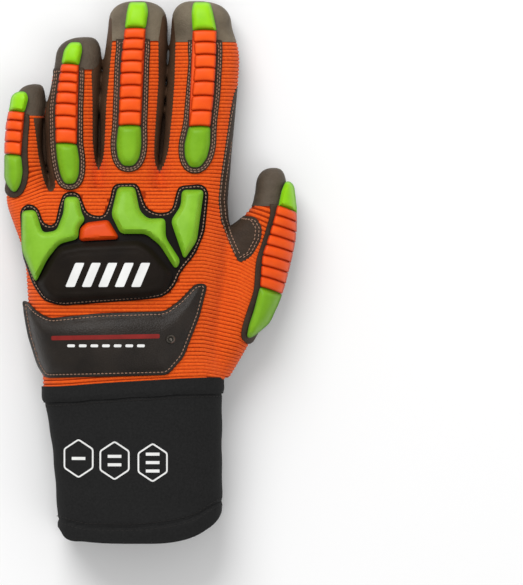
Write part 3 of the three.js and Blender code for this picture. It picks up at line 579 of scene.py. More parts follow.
# %% Heights over a surface
class Heights:
    """Maps of a surface's height, seen from above or, with side -1, from below."""

    def __init__(self, verts, tris, low, high, floor, side=1, step=0.5):
        self.low, self.step, self.side, self.floor = np.array(low, float), step, side, floor
        tree = BVHTree.FromPolygons(verts.tolist(), tris.tolist())
        xs, ys = np.arange(low[0], high[0], step), np.arange(low[1], high[1], step)
        ground = np.full((len(xs), len(ys)), -1e3)
        start, down = 90.0 * side, Vector((0, 0, -side))
        for i, x in enumerate(xs):
            for j, y in enumerate(ys):
                hit = tree.ray_cast(Vector((x, y, start)), down)[0]
                if hit is not None:
                    ground[i, j] = hit.z * side
        self.covered = ground > -500
        for _ in range(12):
            beside = np.max([np.roll(ground, (dx, dy), (0, 1)) - step * 0.8 * math.hypot(dx, dy)
                             for dx in (-1, 0, 1) for dy in (-1, 0, 1) if dx or dy], axis=0)
            ground = np.where((ground < -500) & (beside > -500), beside, ground)
        inner = self.covered
        for shift, axis in ((1, 0), (-1, 0), (1, 1), (-1, 1)):
            inner = inner & np.roll(self.covered, shift, axis)
        for _ in range(5):
            around = [np.roll(ground, (dx, dy), (0, 1)) for dx in (-1, 0, 1) for dy in (-1, 0, 1)]
            calm = ~inner & (np.min(around, axis=0) > -500)
            ground = np.where(calm, np.mean(around, axis=0), ground)
        self.levels = np.array([0, 0.4, 0.9, 1.6, 2.4, 3.3, 4.4, 5.6, 7.0])
        maps = [ground]
        for level in self.levels[1:]:
            reach = int(level / step)
            grown = ground + level
            for dx in range(-reach, reach + 1):
                for dy in range(-reach, reach + 1):
                    flat = (dx * dx + dy * dy) * step * step
                    if 0 < flat <= level * level:
                        lifted = np.roll(ground, (dx, dy), (0, 1)) + math.sqrt(level * level - flat)
                        grown = np.maximum(grown, lifted)
            maps.append(grown)
        self.maps = np.maximum(np.array(maps), floor * side if side > 0 else -floor)

    def over(self, points):
        """Whether each point lies over the surface."""
        cells = ((np.asarray(points, float)[:, :2] - self.low) / self.step).round().astype(int)
        return self.covered[np.clip(cells[:, 0], 0, self.covered.shape[0] - 1),
                            np.clip(cells[:, 1], 0, self.covered.shape[1] - 1)]

    def held_in(self, outline, beyond):
        """An outline drawn in to the surface's own outline, seen from above, and a little beyond it."""
        edge = self.covered & ~(np.roll(self.covered, 1, 0) & np.roll(self.covered, -1, 0)
                                & np.roll(self.covered, 1, 1) & np.roll(self.covered, -1, 1))
        rim = np.argwhere(edge) * self.step + self.low
        result = walked(outline, 0.7)
        away = ~self.over(result)
        for k in np.nonzero(away)[0]:
            gap = rim - result[k]
            nearest = np.argmin((gap**2).sum(1))
            distance = np.linalg.norm(gap[nearest])
            if distance > beyond:
                result[k] += gap[nearest] * (1 - beyond / distance)
        if away.any():
            for _ in range(4):
                soft = (np.roll(result, 1, 0) + 2 * result + np.roll(result, -1, 0)) / 4
                result[away] = soft[away]
        return walked(result, 0.8)

    def at(self, points, lift):
        """The height of each point that lies a lift over the surface."""
        points = np.asarray(points, float)
        lift = np.broadcast_to(np.asarray(lift, float), (len(points),))
        gx = np.clip((points[:, 0] - self.low[0]) / self.step, 0, self.maps.shape[1] - 1.001)
        gy = np.clip((points[:, 1] - self.low[1]) / self.step, 0, self.maps.shape[2] - 1.001)
        i, j = gx.astype(int), gy.astype(int)
        u, v = gx - i, gy - j
        wanted = np.clip(lift, 0, self.levels[-1] - 1e-6)
        k = np.searchsorted(self.levels, wanted, side="right") - 1
        w = (wanted - self.levels[k]) / (self.levels[k + 1] - self.levels[k])
        result = 0
        for level, share in ((k, 1 - w), (k + 1, w)):
            value = (
                self.maps[level, i, j] * (1 - u) * (1 - v) + self.maps[level, i + 1, j] * u * (1 - v)
                + self.maps[level, i, j + 1] * (1 - u) * v + self.maps[level, i + 1, j + 1] * u * v
            )
            result = result + value * share
        return (result + np.minimum(lift, 0)) * self.side


back = Heights(skin_verts, skin_tris, (-6, -12), (158, 198), GUARD_LOWEST)
under = Heights(skin_verts, skin_tris, (-6, -12), (158, 198), 9.0, side=-1)
print("back of the hand at its middle:", back.at([(60, 50)], 0).round(1), "mm")


# %% [markdown]
# A pad is a sheet over an outline. Its triangles follow the outline exactly and lie in even steps
# inside, and its height is a function of the distance to its edge, so that it gets a rolled or
# bevelled border like a moulded or a sewn piece.

# %% Pads
def mesh_inside(outline, step, rings=(0.35, 0.9)):
    """Corners and triangles that fill an outline, with rings of corners along its edge."""
    points = [outline]
    loop = np.asarray(outline, float)
    for ring in rings:
        inner = moved(loop, -ring)
        if len(inner) > 2:
            points.append(inner)
    low, high = loop.min(0), loop.max(0)
    lattice = []
    for k, y in enumerate(np.arange(low[1], high[1], step * 0.87)):
        row = np.arange(low[0] + (k % 2) * step / 2, high[0], step)
        lattice.append(np.stack([row, np.full(len(row), y)], 1))
    lattice = np.vstack(lattice)
    clear = (rings[-1] if rings else 0) + step * 0.55
    points.append(lattice[edge_distance(lattice, loop) > clear])
    cloud = np.vstack(points)
    edges = [(k, (k + 1) % len(loop)) for k in range(len(loop))]
    out = delaunay_2d_cdt([Vector(p) for p in cloud.tolist()], edges, [], 1, 1e-5)
    verts, tris = np.array([tuple(v) for v in out[0]]), np.array([tuple(f) for f in out[2]])
    corners = verts[tris]
    turn = np.cross(corners[:, 1] - corners[:, 0], corners[:, 2] - corners[:, 0])
    tris[turn < 0] = tris[turn < 0][:, ::-1]
    return verts, tris


def pad(outline, base, height, surface=None, step=1.2, spacing=0.9, sink=0.35, rings=(0.35, 0.9)):
    """A closed pad over an outline: base is where it starts over the surface, height gives its top."""
    surface = surface or back
    plan, tris = mesh_inside(walked(outline, spacing), step, rings)
    loop = walked(outline, spacing)
    inside = np.maximum(edge_distance(plan, loop), 0)
    inside[: len(loop)] = 0
    lift = base + height(plan, inside)
    top = np.column_stack([plan, surface.at(plan, lift)])
    foot = surface.at(plan, np.full(len(plan), max(base, 0))) - sink * surface.side
    bottom = np.column_stack([plan, foot])
    verts, faces = thick_pair(top, bottom, tris if surface.side > 0 else tris[:, ::-1])
    return verts, faces, np.concatenate([inside, np.zeros(len(inside))])


def quarter(share):
    """The rise of a quarter circle, from 0 at its foot to 1."""
    return np.sqrt(1 - (1 - np.clip(share, 0, 1)) ** 2)


def rolled(height, radius, foot=0.0):
    """A quarter-round edge up to a flat top."""
    return lambda plan, d: foot + (height - foot) * quarter(d / radius)


def bevelled(height, width, foot=0.3, dome=0.0):
    """A straight bevel up to a nearly flat top."""
    def shape(plan, d):
        slope = np.clip(d / width, 0, 1)
        soft = slope - 0.08 * np.sin(2 * np.pi * slope)
        return height * (foot + (1 - foot) * soft) + dome * (1 - np.exp(-d / (2 * width)))
    return shape


# %% [markdown]
# Materials come next. Three shader groups hold what several materials share: the grain of leather,
# the yarn of knit and woven cloth, and the faint mottle of moulded rubber with painted shade at its
# edges. Each reads the piece's own coordinates and returns masks and a bump, and the material keeps its own
# shader.

# %% Shader groups
FLOAT, VECTOR = "NodeSocketFloat", "NodeSocketVector"


def linear(red, green, blue):
    """A colour in steps of 0 to 255, as the linear values of a shader."""
    def one(value):
        value /= 255
        return value / 12.92 if value <= 0.04045 else ((value + 0.055) / 1.055) ** 2.4
    return (one(red), one(green), one(blue), 1.0)


class Tree:
    """A node tree with short ways to add a node and to join sockets."""

    def __init__(self, tree):
        self.tree = tree
        self.place = 0

    def add(self, kind, values=(), **settings):
        node = self.tree.nodes.new(kind)
        self.place += 1
        node.location = (self.place % 6 * 200 - 600, self.place // 6 * -220)
        for key, value in settings.items():
            setattr(node, key, value)
        for socket, value in dict(values).items():
            if isinstance(value, bpy.types.NodeSocket):
                self.tree.links.new(value, node.inputs[socket])
            else:
                node.inputs[socket].default_value = value
        return node

    def join(self, source, target):
        self.tree.links.new(source, target)


def shader_group(name, inputs, outputs):
    """An empty shader group with its sockets."""
    tree = bpy.data.node_groups.new(name, "ShaderNodeTree")
    for label, kind, value in inputs:
        socket = tree.interface.new_socket(name=label, in_out="INPUT", socket_type=kind)
        if value is not None:
            socket.default_value = value
    for label, kind in outputs:
        tree.interface.new_socket(name=label, in_out="OUTPUT", socket_type=kind)
    helper = Tree(tree)
    return helper, helper.add("NodeGroupInput"), helper.add("NodeGroupOutput")


def leather_group():
    """Pebbled leather: pores, worn patches and a fine bump."""
    t, given, out = shader_group(
        "leather_grain",
        [("Place", VECTOR, None), ("Cells", FLOAT, 700.0), ("Depth", FLOAT, 0.3)],
        [("Pores", FLOAT), ("Wear", FLOAT), ("Normal", VECTOR)],
    )
    place, cells = given.outputs["Place"], given.outputs["Cells"]
    warp = t.add("ShaderNodeTexNoise", {"Vector": place, "Scale": 260.0, "Detail": 2.0})
    shift = t.add("ShaderNodeVectorMath", {0: warp.outputs["Color"]}, operation="SCALE")
    shift.inputs["Scale"].default_value = 0.0016
    bent = t.add("ShaderNodeVectorMath", {0: place, 1: shift.outputs[0]}, operation="ADD")
    grain = {"Vector": bent.outputs[0], "Scale": cells}
    pebble = t.add("ShaderNodeTexVoronoi", grain, feature="SMOOTH_F1")
    crease = t.add("ShaderNodeTexVoronoi", grain, feature="DISTANCE_TO_EDGE")
    pores = t.add("ShaderNodeMapRange", {
        "Value": crease.outputs["Distance"], "From Min": 0.0, "From Max": 0.16})
    wear = t.add("ShaderNodeTexNoise", {"Vector": place, "Scale": 55.0, "Detail": 5.0, "Roughness": 0.6})
    fine = t.add("ShaderNodeTexNoise", {"Vector": place, "Scale": 1900.0, "Detail": 2.0})
    height = t.add("ShaderNodeMath", {0: pores.outputs[0], 1: pebble.outputs["Distance"]},
                   operation="SUBTRACT")
    total = t.add("ShaderNodeMath", {0: fine.outputs["Fac"], 1: 0.5, 2: height.outputs[0]},
                  operation="MULTIPLY_ADD")
    bump = t.add("ShaderNodeBump", {
        "Strength": given.outputs["Depth"], "Distance": 0.0004, "Height": total.outputs[0]})
    t.join(pores.outputs[0], out.inputs["Pores"])
    t.join(wear.outputs["Fac"], out.inputs["Wear"])
    t.join(bump.outputs[0], out.inputs["Normal"])
    return t.tree


def yarn_group():
    """Loops and fuzz of yarn, for knit, webbing and thread."""
    t, given, out = shader_group(
        "yarn",
        [("Place", VECTOR, None), ("Pitch", FLOAT, 1400.0), ("Depth", FLOAT, 0.3)],
        [("Loops", FLOAT), ("Fuzz", FLOAT), ("Normal", VECTOR)],
    )
    place = given.outputs["Place"]
    wave = {"Vector": place, "Scale": given.outputs["Pitch"], "Distortion": 1.5,
            "Detail": 1.0, "Detail Scale": 1.5}
    across = t.add("ShaderNodeTexWave", wave, bands_direction="X")
    along = t.add("ShaderNodeTexWave", wave, bands_direction="Y")
    loops = t.add("ShaderNodeMath", {0: across.outputs["Fac"], 1: along.outputs["Fac"]},
                  operation="MULTIPLY")
    fuzz = t.add("ShaderNodeTexNoise", {"Vector": place, "Scale": 900.0, "Detail": 4.0, "Roughness": 0.7})
    total = t.add("ShaderNodeMath", {0: fuzz.outputs["Fac"], 1: 0.6, 2: loops.outputs[0]},
                  operation="MULTIPLY_ADD")
    bump = t.add("ShaderNodeBump", {
        "Strength": given.outputs["Depth"], "Distance": 0.0003, "Height": total.outputs[0]})
    t.join(loops.outputs[0], out.inputs["Loops"])
    t.join(fuzz.outputs["Fac"], out.inputs["Fuzz"])
    t.join(bump.outputs[0], out.inputs["Normal"])
    return t.tree


def rubber_group():
    """Moulded rubber: a faint mottle, and a rim of painted shade along each piece's edge."""
    t, given, out = shader_group(
        "moulded_rubber",
        [("Place", VECTOR, None), ("Depth", FLOAT, 0.15)],
        [("Mottle", FLOAT), ("Edge_shade", FLOAT), ("Normal", VECTOR)],
    )
    place = given.outputs["Place"]
    mottle = t.add("ShaderNodeTexNoise", {"Vector": place, "Scale": 90.0, "Detail": 4.0, "Roughness": 0.6})
    fine = t.add("ShaderNodeTexNoise", {"Vector": place, "Scale": 1500.0, "Detail": 2.0})
    # Painted shade: this mask darkens the colour within about a millimetre of each piece's edge.
    edge = t.add("ShaderNodeAttribute", attribute_name="edge")
    rim = t.add("ShaderNodeMapRange", {"Value": edge.outputs["Fac"], "From Min": 0.0, "From Max": 1.1})
    bump = t.add("ShaderNodeBump", {
        "Strength": given.outputs["Depth"], "Distance": 0.0002, "Height": fine.outputs["Fac"]})
    t.join(mottle.outputs["Fac"], out.inputs["Mottle"])
    t.join(rim.outputs[0], out.inputs["Edge_shade"])
    t.join(bump.outputs[0], out.inputs["Normal"])
    return t.tree


LEATHER, YARN, RUBBER = leather_group(), yarn_group(), rubber_group()


# %% Materials
def material(name, group, settings, dark, light, mask, span, roughness,
             sheen=0.0, metallic=0.0, rim=None, gloss=0.5):
    """A Principled shader whose colour runs from dark to light along one mask of a shared group."""
    made = bpy.data.materials.new(name)
    made.use_nodes = True
    t = Tree(made.node_tree)
    made.node_tree.nodes.clear()
    place = t.add("ShaderNodeTexCoord")
    shared = t.add("ShaderNodeGroup", node_tree=group)
    t.join(place.outputs["Object"], shared.inputs["Place"])
    for key, value in settings.items():
        shared.inputs[key].default_value = value
    share = t.add("ShaderNodeMapRange", {
        "Value": shared.outputs[mask], "From Min": span[0], "From Max": span[1]})
    colour = t.add("ShaderNodeMix", {"Factor": share.outputs[0]}, data_type="RGBA")
    colour.inputs["A"].default_value = linear(*dark)
    colour.inputs["B"].default_value = linear(*light)
    found = colour.outputs["Result"]
    # Painted shade: near a piece's edge its colour turns to the darker rim colour.
    if rim is not None:
        darker = t.add("ShaderNodeMix", {"Factor": shared.outputs["Edge_shade"]}, data_type="RGBA")
        darker.inputs["A"].default_value = linear(*rim)
        t.join(found, darker.inputs["B"])
        found = darker.outputs["Result"]
    shader = t.add("ShaderNodeBsdfPrincipled", {
        "Base Color": found, "Roughness": roughness, "Metallic": metallic, "Sheen Weight": sheen,
        "Specular IOR Level": gloss, "Normal": shared.outputs["Normal"],
    })
    result = t.add("ShaderNodeOutputMaterial")
    t.join(shader.outputs[0], result.inputs["Surface"])
    return made


MIDDLE = (0.3, 0.7)


def hide(name, dark, light, cells=650.0, depth=0.25, mask="Wear", span=MIDDLE, roughness=0.6, gloss=0.2):
    settings = {"Cells": cells, "Depth": depth}
    return material(name, LEATHER, settings, dark, light, mask, span, roughness, gloss=gloss)


def yarn(name, dark, light, pitch, depth, mask="Fuzz", span=MIDDLE, roughness=0.8, sheen=0.0, gloss=0.2):
    settings = {"Pitch": pitch, "Depth": depth}
    return material(name, YARN, settings, dark, light, mask, span, roughness, sheen=sheen, gloss=gloss)


def thread(name, dark, light):
    return yarn(name, dark, light, 2200.0, 0.4, "Loops", (0.1, 0.6), 0.7)


def rubber(name, dark, light, rim=None, depth=0.1, roughness=0.45, metallic=0.0, gloss=0.2):
    return material(name, RUBBER, {"Depth": depth}, dark, light, "Mottle", MIDDLE, roughness,
                    metallic=metallic, rim=rim, gloss=gloss)


M = {
    "cord": yarn("knit_cord", (214, 74, 12), (238, 100, 26), 700.0, 0.35, sheen=0.1, gloss=0.12),
    # Painted shade: the knit under the cords is coloured darker to stand for the shade between them.
    "ground": yarn("knit_painted_shade", (132, 38, 5), (172, 56, 9), 700.0, 0.3, roughness=0.9, gloss=0.1),
    "leather": hide("leather", (88, 78, 64), (122, 110, 92)),
    # Painted shade: a darker copy of the cap leather.
    "shaded_cap_leather": hide("shaded_cap_leather", (62, 53, 43), (90, 79, 66)),
    "leather_fork": hide("leather_fork", (62, 42, 28), (90, 66, 48)),
    "leather_dark": hide("leather_dark", (44, 34, 26), (70, 56, 44), gloss=0.15),
    "palm": hide("palm_leather", (62, 56, 48), (92, 85, 75), 520.0, 0.35, gloss=0.25),
    "suede": hide("suede", (40, 38, 37), (92, 88, 86), 780.0, 0.8, "Pores", (0.0, 1.0), 0.85, 0.15),
    "neoprene": yarn("neoprene", (25, 25, 25), (35, 35, 35), 900.0, 0.25, gloss=0.12),
    # The third colour given to a rubber is painted shade along its edges.
    "green": rubber("rubber_green", (120, 174, 34), (134, 188, 48), (88, 140, 16), gloss=0.22),
    # Painted light and shade: root and tip are one lime rubber; the root's darker copy is painted shade and
    # the tip's lighter copy is painted light.
    "root": rubber("shaded_lime_rubber", (112, 164, 20), (126, 178, 30), (78, 128, 8)),
    "tip": rubber("lit_lime_rubber", (136, 204, 14), (152, 216, 26), (98, 168, 8)),
    "orange": rubber("rubber_orange", (232, 78, 8), (244, 90, 14), (186, 46, 3)),
    # Painted shade: a darker copy of the orange rubber, for the bridge.
    "orange_shaded": rubber("shaded_orange_rubber", (206, 64, 4), (220, 74, 9), (160, 38, 2)),
    "dot": rubber("rubber_dot", (20, 19, 18), (34, 32, 30), depth=0.05, roughness=0.28, gloss=0.6),
    "black": rubber("rubber_black", (20, 14, 9), (28, 21, 15), (16, 11, 8), 0.35, 0.55, gloss=0.1),
    "pad": hide("pad_leather", (28, 23, 19), (44, 37, 31), 900.0, 0.2, roughness=0.42, gloss=0.22),
    "webbing": yarn("webbing", (112, 106, 96), (160, 152, 140), 600.0, 0.8, "Loops", (0.1, 0.7), 0.85,
                    gloss=0.15),
    "steel": rubber("dark_steel", (84, 80, 74), (120, 114, 106), None, 0.05, 0.3, 0.9, 0.5),
    "tan": thread("thread_tan", (176, 104, 62), (220, 148, 96)),
    "brown": thread("thread_brown", (140, 108, 90), (190, 156, 134)),
    "dark": thread("thread_dark", (26, 24, 23), (48, 45, 43)),
    "white": rubber("print_white", (222, 222, 220), (238, 238, 236), roughness=0.5),
    "red": rubber("print_red", (116, 28, 24), (136, 34, 30), roughness=0.5),
}
print("materials:", len(M))

# %% [markdown]
# The skin is cut as a glover would cut it. The palm's leather comes up to a seam at the side. Above
# it the back is knit, with leather over each fingertip, in the forks between the fingers, along
# the outer side of the index finger and at the crotch of the thumb.

# %% Leather and knit
def along_x(line, x):
    """The height of a line at each x, followed smoothly."""
    line = np.asarray(line)
    return eased(line, np.clip(np.asarray(x, float).ravel(), line[0, 0], line[-1, 0] - 1e-6))[:, 1]


def seam_height(y):
    """The height of the side seam along the hand."""
    return SKIN_FLOOR + PALM_HEIGHT * np.interp(
        y / PALM_LENGTH, [r[0] for r in SEAM_ROWS], [r[1] for r in SEAM_ROWS])


wrist = on_palm(WRIST_LINE)
(hand_v, hand_t), _ = cut(skin_verts, skin_tris, skin_verts[:, 1] - along_x(wrist, skin_verts[:, 0]) - 0.15)
(top_v, top_t), (palm_v, palm_t) = cut(hand_v, hand_t, hand_v[:, 2] - seam_height(hand_v[:, 1]))
make_object("palm_leather", *thickened(palm_v, palm_t, PALM_WALL), M["palm"], "palm_leather",
            ["palm_shell"] + [f"palm_{f}" for f in FINGERS])


def cut_out(name, outline, leather, radius=1.0, outwards=0.35):
    """Cuts an outline out of the knit and puts leather of its own in the place."""
    global top_v, top_t
    outline = rounded(outline, radius)
    (piece_v, piece_t), (top_v, top_t) = cut(top_v, top_t, edge_distance(top_v, outline))
    wall = thickened(piece_v, piece_t, LEATHER_WALL, outwards)
    make_object(f"leather_{name}", *wall, leather, "leather", [name])


for fork, outline in FORKS.items():
    cut_out(fork, on_palm(outline), M["leather_fork"], 1.5, 0.2)
for finger, (start, left, right, left_past, right_past) in CAPS.items():
    corners = on_finger(finger, [(left, start), (right, start), (right_past, 1.2), (left_past, 1.2)])
    # Painted shade: the ring, little and thumb caps take the darker copy of the cap leather.
    cut_out(f"cap_{finger}", corners, M["leather" if finger in ("middle", "index") else "shaded_cap_leather"])


def strip_round(line, half):
    """The outline of a strip along a line."""
    line = walked(line, 1.5, closed=False)
    return rounded(np.vstack([line - np.array([half, 0]), line[::-1] + np.array([half, 0])]), 1.0)


for name, line in WEBS.items():
    plan, tris = mesh_inside(walked(strip_round(line, WEB_HALF), 0.9), 1.3, (0.4,))
    fall = np.clip((plan[:, 1] - plan[:, 1].min()) / 12, 0, 1)
    level = WEB_TOP - WEB_FALL * smoothstep(fall)
    web = thick_pair(np.column_stack([plan, level]), np.column_stack([plan, level - WEB_WALL]), tris)
    make_object(name, *web, M["leather_fork"], "leather")
cut_out("index_side_band", on_palm(SIDE_BAND), M["leather_dark"], 1.5)
cut_out("keystone_patch", on_palm(KEYSTONE), M["leather_dark"], 2.5)
# Painted shade: the knit's darker colour stands for the shade between the cords.
make_object("back_knit", *thickened(top_v, top_t, KNIT_WALL), M["ground"], "knit",
            ["hand_back"] + [f"back_{f}" for f in FINGERS])
print("back:", len(top_t), "palm:", len(palm_t), "triangles before thickening")


# %% [markdown]
# The knit is a row of raised cords; the valleys between them are dark with painted shade, in the
# colour of the knit under the cords. Each cord is a line of equal value of one smooth function over
# the cloth, so the cords can lie level over the hand, bend over the thumb's root and drop over the
# sides. Only cords that no pad covers are swept.

# %% Cords of the knit
def cord_value(points):
    """The function whose whole numbers are the cords of the knit."""
    x, y = points[:, 0], points[:, 1]
    bend = 0.22 * np.maximum(x - 102, 0) + 0.3 * np.maximum(x - 119, 0) * smoothstep((94 - y) / 30)
    bend = bend * smoothstep((118 - y) / 40)
    left = 0.4 * np.maximum(22 - x, 0) * smoothstep((y - 70) / 25) * smoothstep((112 - y) / 12)
    low = (along_x(wrist, x) - 1.5) * smoothstep((16 - y) / 14)
    level = y + bend + left - low
    return np.where(level > 40, (level - 40) / 1.82 + 20.3, level / 1.97)


def level_lines(verts, tris, value):
    """Lines through a mesh where value passes whole numbers, as (points, normals)."""
    normal = vertex_normals(verts, tris)
    lines = []
    corner = value[tris]
    low, high = np.floor(corner.min(1)), np.floor(corner.max(1))
    for number in range(int(low.min()) + 1, int(high.max()) + 1):
        picked = np.nonzero((low < number) & (high >= number))[0]
        links = {}
        where = {}
        for face in picked:
            ends = []
            for k in range(3):
                a, b = tris[face, k], tris[face, (k + 1) % 3]
                va, vb = value[a] - number, value[b] - number
                if (va >= 0) != (vb >= 0):
                    key = (min(a, b), max(a, b))
                    if key not in where:
                        t = va / (va - vb)
                        where[key] = [of[a] * (1 - t) + of[b] * t for of in (verts, normal)]
                    ends.append(key)
            if len(ends) == 2:
                links.setdefault(ends[0], []).append(ends[1])
                links.setdefault(ends[1], []).append(ends[0])
        unused = set(links)
        for first in sorted(unused, key=lambda k: (len(links[k]) != 1, k)):
            if first not in unused:
                continue
            chain = [first]
            unused.discard(first)
            while True:
                after = [k for k in links[chain[-1]] if k in unused]
                if not after:
                    break
                chain.append(after[0])
                unused.discard(after[0])
            if len(chain) > 3:
                lines.append(tuple(np.array([where[k][part] for k in chain]) for part in (0, 1)))
    return lines


def swept(points, normals, step, profile):
    """A half-round cord along a line on a surface."""
    both = np.hstack([points, normals])
    lengths = np.linalg.norm(np.diff(points, axis=0), axis=1)
    along = np.concatenate([[0], np.cumsum(lengths)])
    if along[-1] < 1.5:
        return None
    stations = np.linspace(0, along[-1], max(2, int(along[-1] / step)) + 1)
    both = np.stack([np.interp(stations, along, both[:, k]) for k in range(6)], 1)
    path, up = both[:, :3], both[:, 3:]
    path[1:-1] = (path[:-2] + 2 * path[1:-1] + path[2:]) / 4
    up /= np.linalg.norm(up, axis=1)[:, None]
    ahead = np.gradient(path, axis=0)
    ahead /= np.linalg.norm(ahead, axis=1)[:, None] + 1e-9
    side = np.cross(ahead, up)
    side /= np.linalg.norm(side, axis=1)[:, None] + 1e-9
    count = len(profile)
    rings = np.stack([path + side * a + up * b for a, b in profile], 1).reshape(-1, 3)
    k = np.arange(len(path) - 1)[:, None] * count + np.arange(count)[None]
    after = np.arange(len(path) - 1)[:, None] * count + (np.arange(count)[None] + 1) % count
    quads = np.stack([k, after, after + count, k + count], -1).reshape(-1, 4)
    tris = np.vstack([quads[:, [0, 1, 2]], quads[:, [0, 2, 3]]])
    last = (len(path) - 1) * count
    ends = [(0, j + 1, j) for j in range(1, count - 1)]
    ends += [(last, last + j, last + j + 1) for j in range(1, count - 1)]
    return rings, np.vstack([tris, ends])


def strip_outline(finger, start, end):
    """The guard's strip on a finger between two stations."""
    rows = GUARD_ROWS[finger]
    stations = [r[0] for r in rows][::-1]

    def at(along):
        return (along, np.interp(along, stations, [r[1] for r in rows][::-1]),
                np.interp(along, stations, [r[2] for r in rows][::-1]))

    chosen = [at(start)] + [r for r in rows if end < r[0] < start] + [at(end)]
    left = on_finger(finger, [(r[1], r[0]) for r in chosen])
    right = on_finger(finger, [(r[2], r[0]) for r in chosen])
    return np.vstack([left, right[::-1]])


def backing_outline(finger):
    """The sewn backing of a finger's guard, from the root up to the fingertip's leather."""
    strip = strip_outline(finger, CAPS[finger][0] + 0.004, GUARD_ROWS[finger][-1][0])
    outline = moved(walked(rounded(strip, 3.5), 1.0), PATCH_MARGIN)
    top = strip[[0, -1], 1].max() + 0.6
    outline[:, 1] = np.minimum(outline[:, 1], top)
    wide = outline[outline[:, 1] > top - PATCH_MARGIN - 4]
    corners = [(wide[:, 0].min() + 0.2, top), (wide[:, 0].max() - 0.2, top)]
    turn = np.roll(outline, -int(np.argmax(outline[:, 1])), axis=0)
    kept = turn[turn[:, 1] < top - PATCH_MARGIN - 1]
    first, last = (corners[0], corners[1]) if kept[0, 0] < kept[-1, 0] else (corners[1], corners[0])
    return back.held_in(np.vstack([first, kept, last]), 1.8)


finger_base = {f: backing_outline(f) for f in FINGERS}
knuckle_base = back.held_in(rounded(on_palm(KNUCKLE_BASE), 3.2), 2.2)
wrist_pad = back.held_in(rounded(on_palm(WRIST_PAD), 2.6), 3.4)
covers = [*finger_base.values(), knuckle_base, wrist_pad]
cord_parts = []
profile = [(-0.86, -0.1), (-0.55, 0.3), (0.0, 0.44), (0.55, 0.3), (0.86, -0.1)]
for points, normals in level_lines(top_v, top_t, cord_value(top_v)):
    hidden = np.zeros(len(points), bool)
    for outline in covers:
        near = (points[:, :2] > outline.min(0)).all(1) & (points[:, :2] < outline.max(0)).all(1)
        if near.any():
            hidden[near] |= edge_distance(points[near], outline) > 0.8
    hidden &= points[:, 2] > GUARD_LOWEST
    start = 0
    for k in range(1, len(points) + 1):
        if k == len(points) or hidden[k] != hidden[start]:
            if not hidden[start] and k - start > 3:
                part = swept(points[start:k], normals[start:k], 1.3, profile)
                if part is not None:
                    cord_parts.append(part)
            start = k
cords_v, cords_t, _ = joined(cord_parts)
make_object("knit_cords", cords_v, cords_t, M["cord"], "knit", sharp=80)
print("cords:", len(cord_parts), "triangles:", len(cords_t))

# %% [markdown]
# Each finger carries a moulded guard on a sewn leather base: a lime tip that runs over the
# fingertip, a row of soft orange ribs that lets it bend, and a lime root. The ribs are separate
# pillows on a thin floor, with bowed creases between them.

# %% Finger guards
# How far a guard may stand out past the hand's outline, how far its tip reaches, its creases' slant
BEYOND = {"little": 3.0, "ring": 2.4, "middle": 2.4, "index": 2.4, "thumb": 4.4}
TIP_REACH = {"little": 0.93, "ring": 0.965, "middle": 0.995, "index": 0.995, "thumb": 0.93}
SLANT = {"little": -0.3, "ring": -0.3, "middle": 0.0, "index": 0.0, "thumb": -2.8}


def crease(finger, along, bow, count=7):
    """A crease across the strip, bowed towards the fingertip and slanted on the thumb."""
    outline = strip_outline(finger, along, along - 1e-4)
    share = np.linspace(-1, 1, count)
    middle, half = (outline[0] + outline[-1]) / 2, (outline[-1] - outline[0]) / 2
    line = middle + share[:, None] * half
    line[:, 1] += bow * (1 - share**2) + SLANT[finger] * share
    return line


def bar_outline(finger, above, below, bow):
    """The outline of one rib between two creases."""
    upper, lower = crease(finger, above, bow), crease(finger, below, bow)
    return np.vstack([upper[::-1], lower])


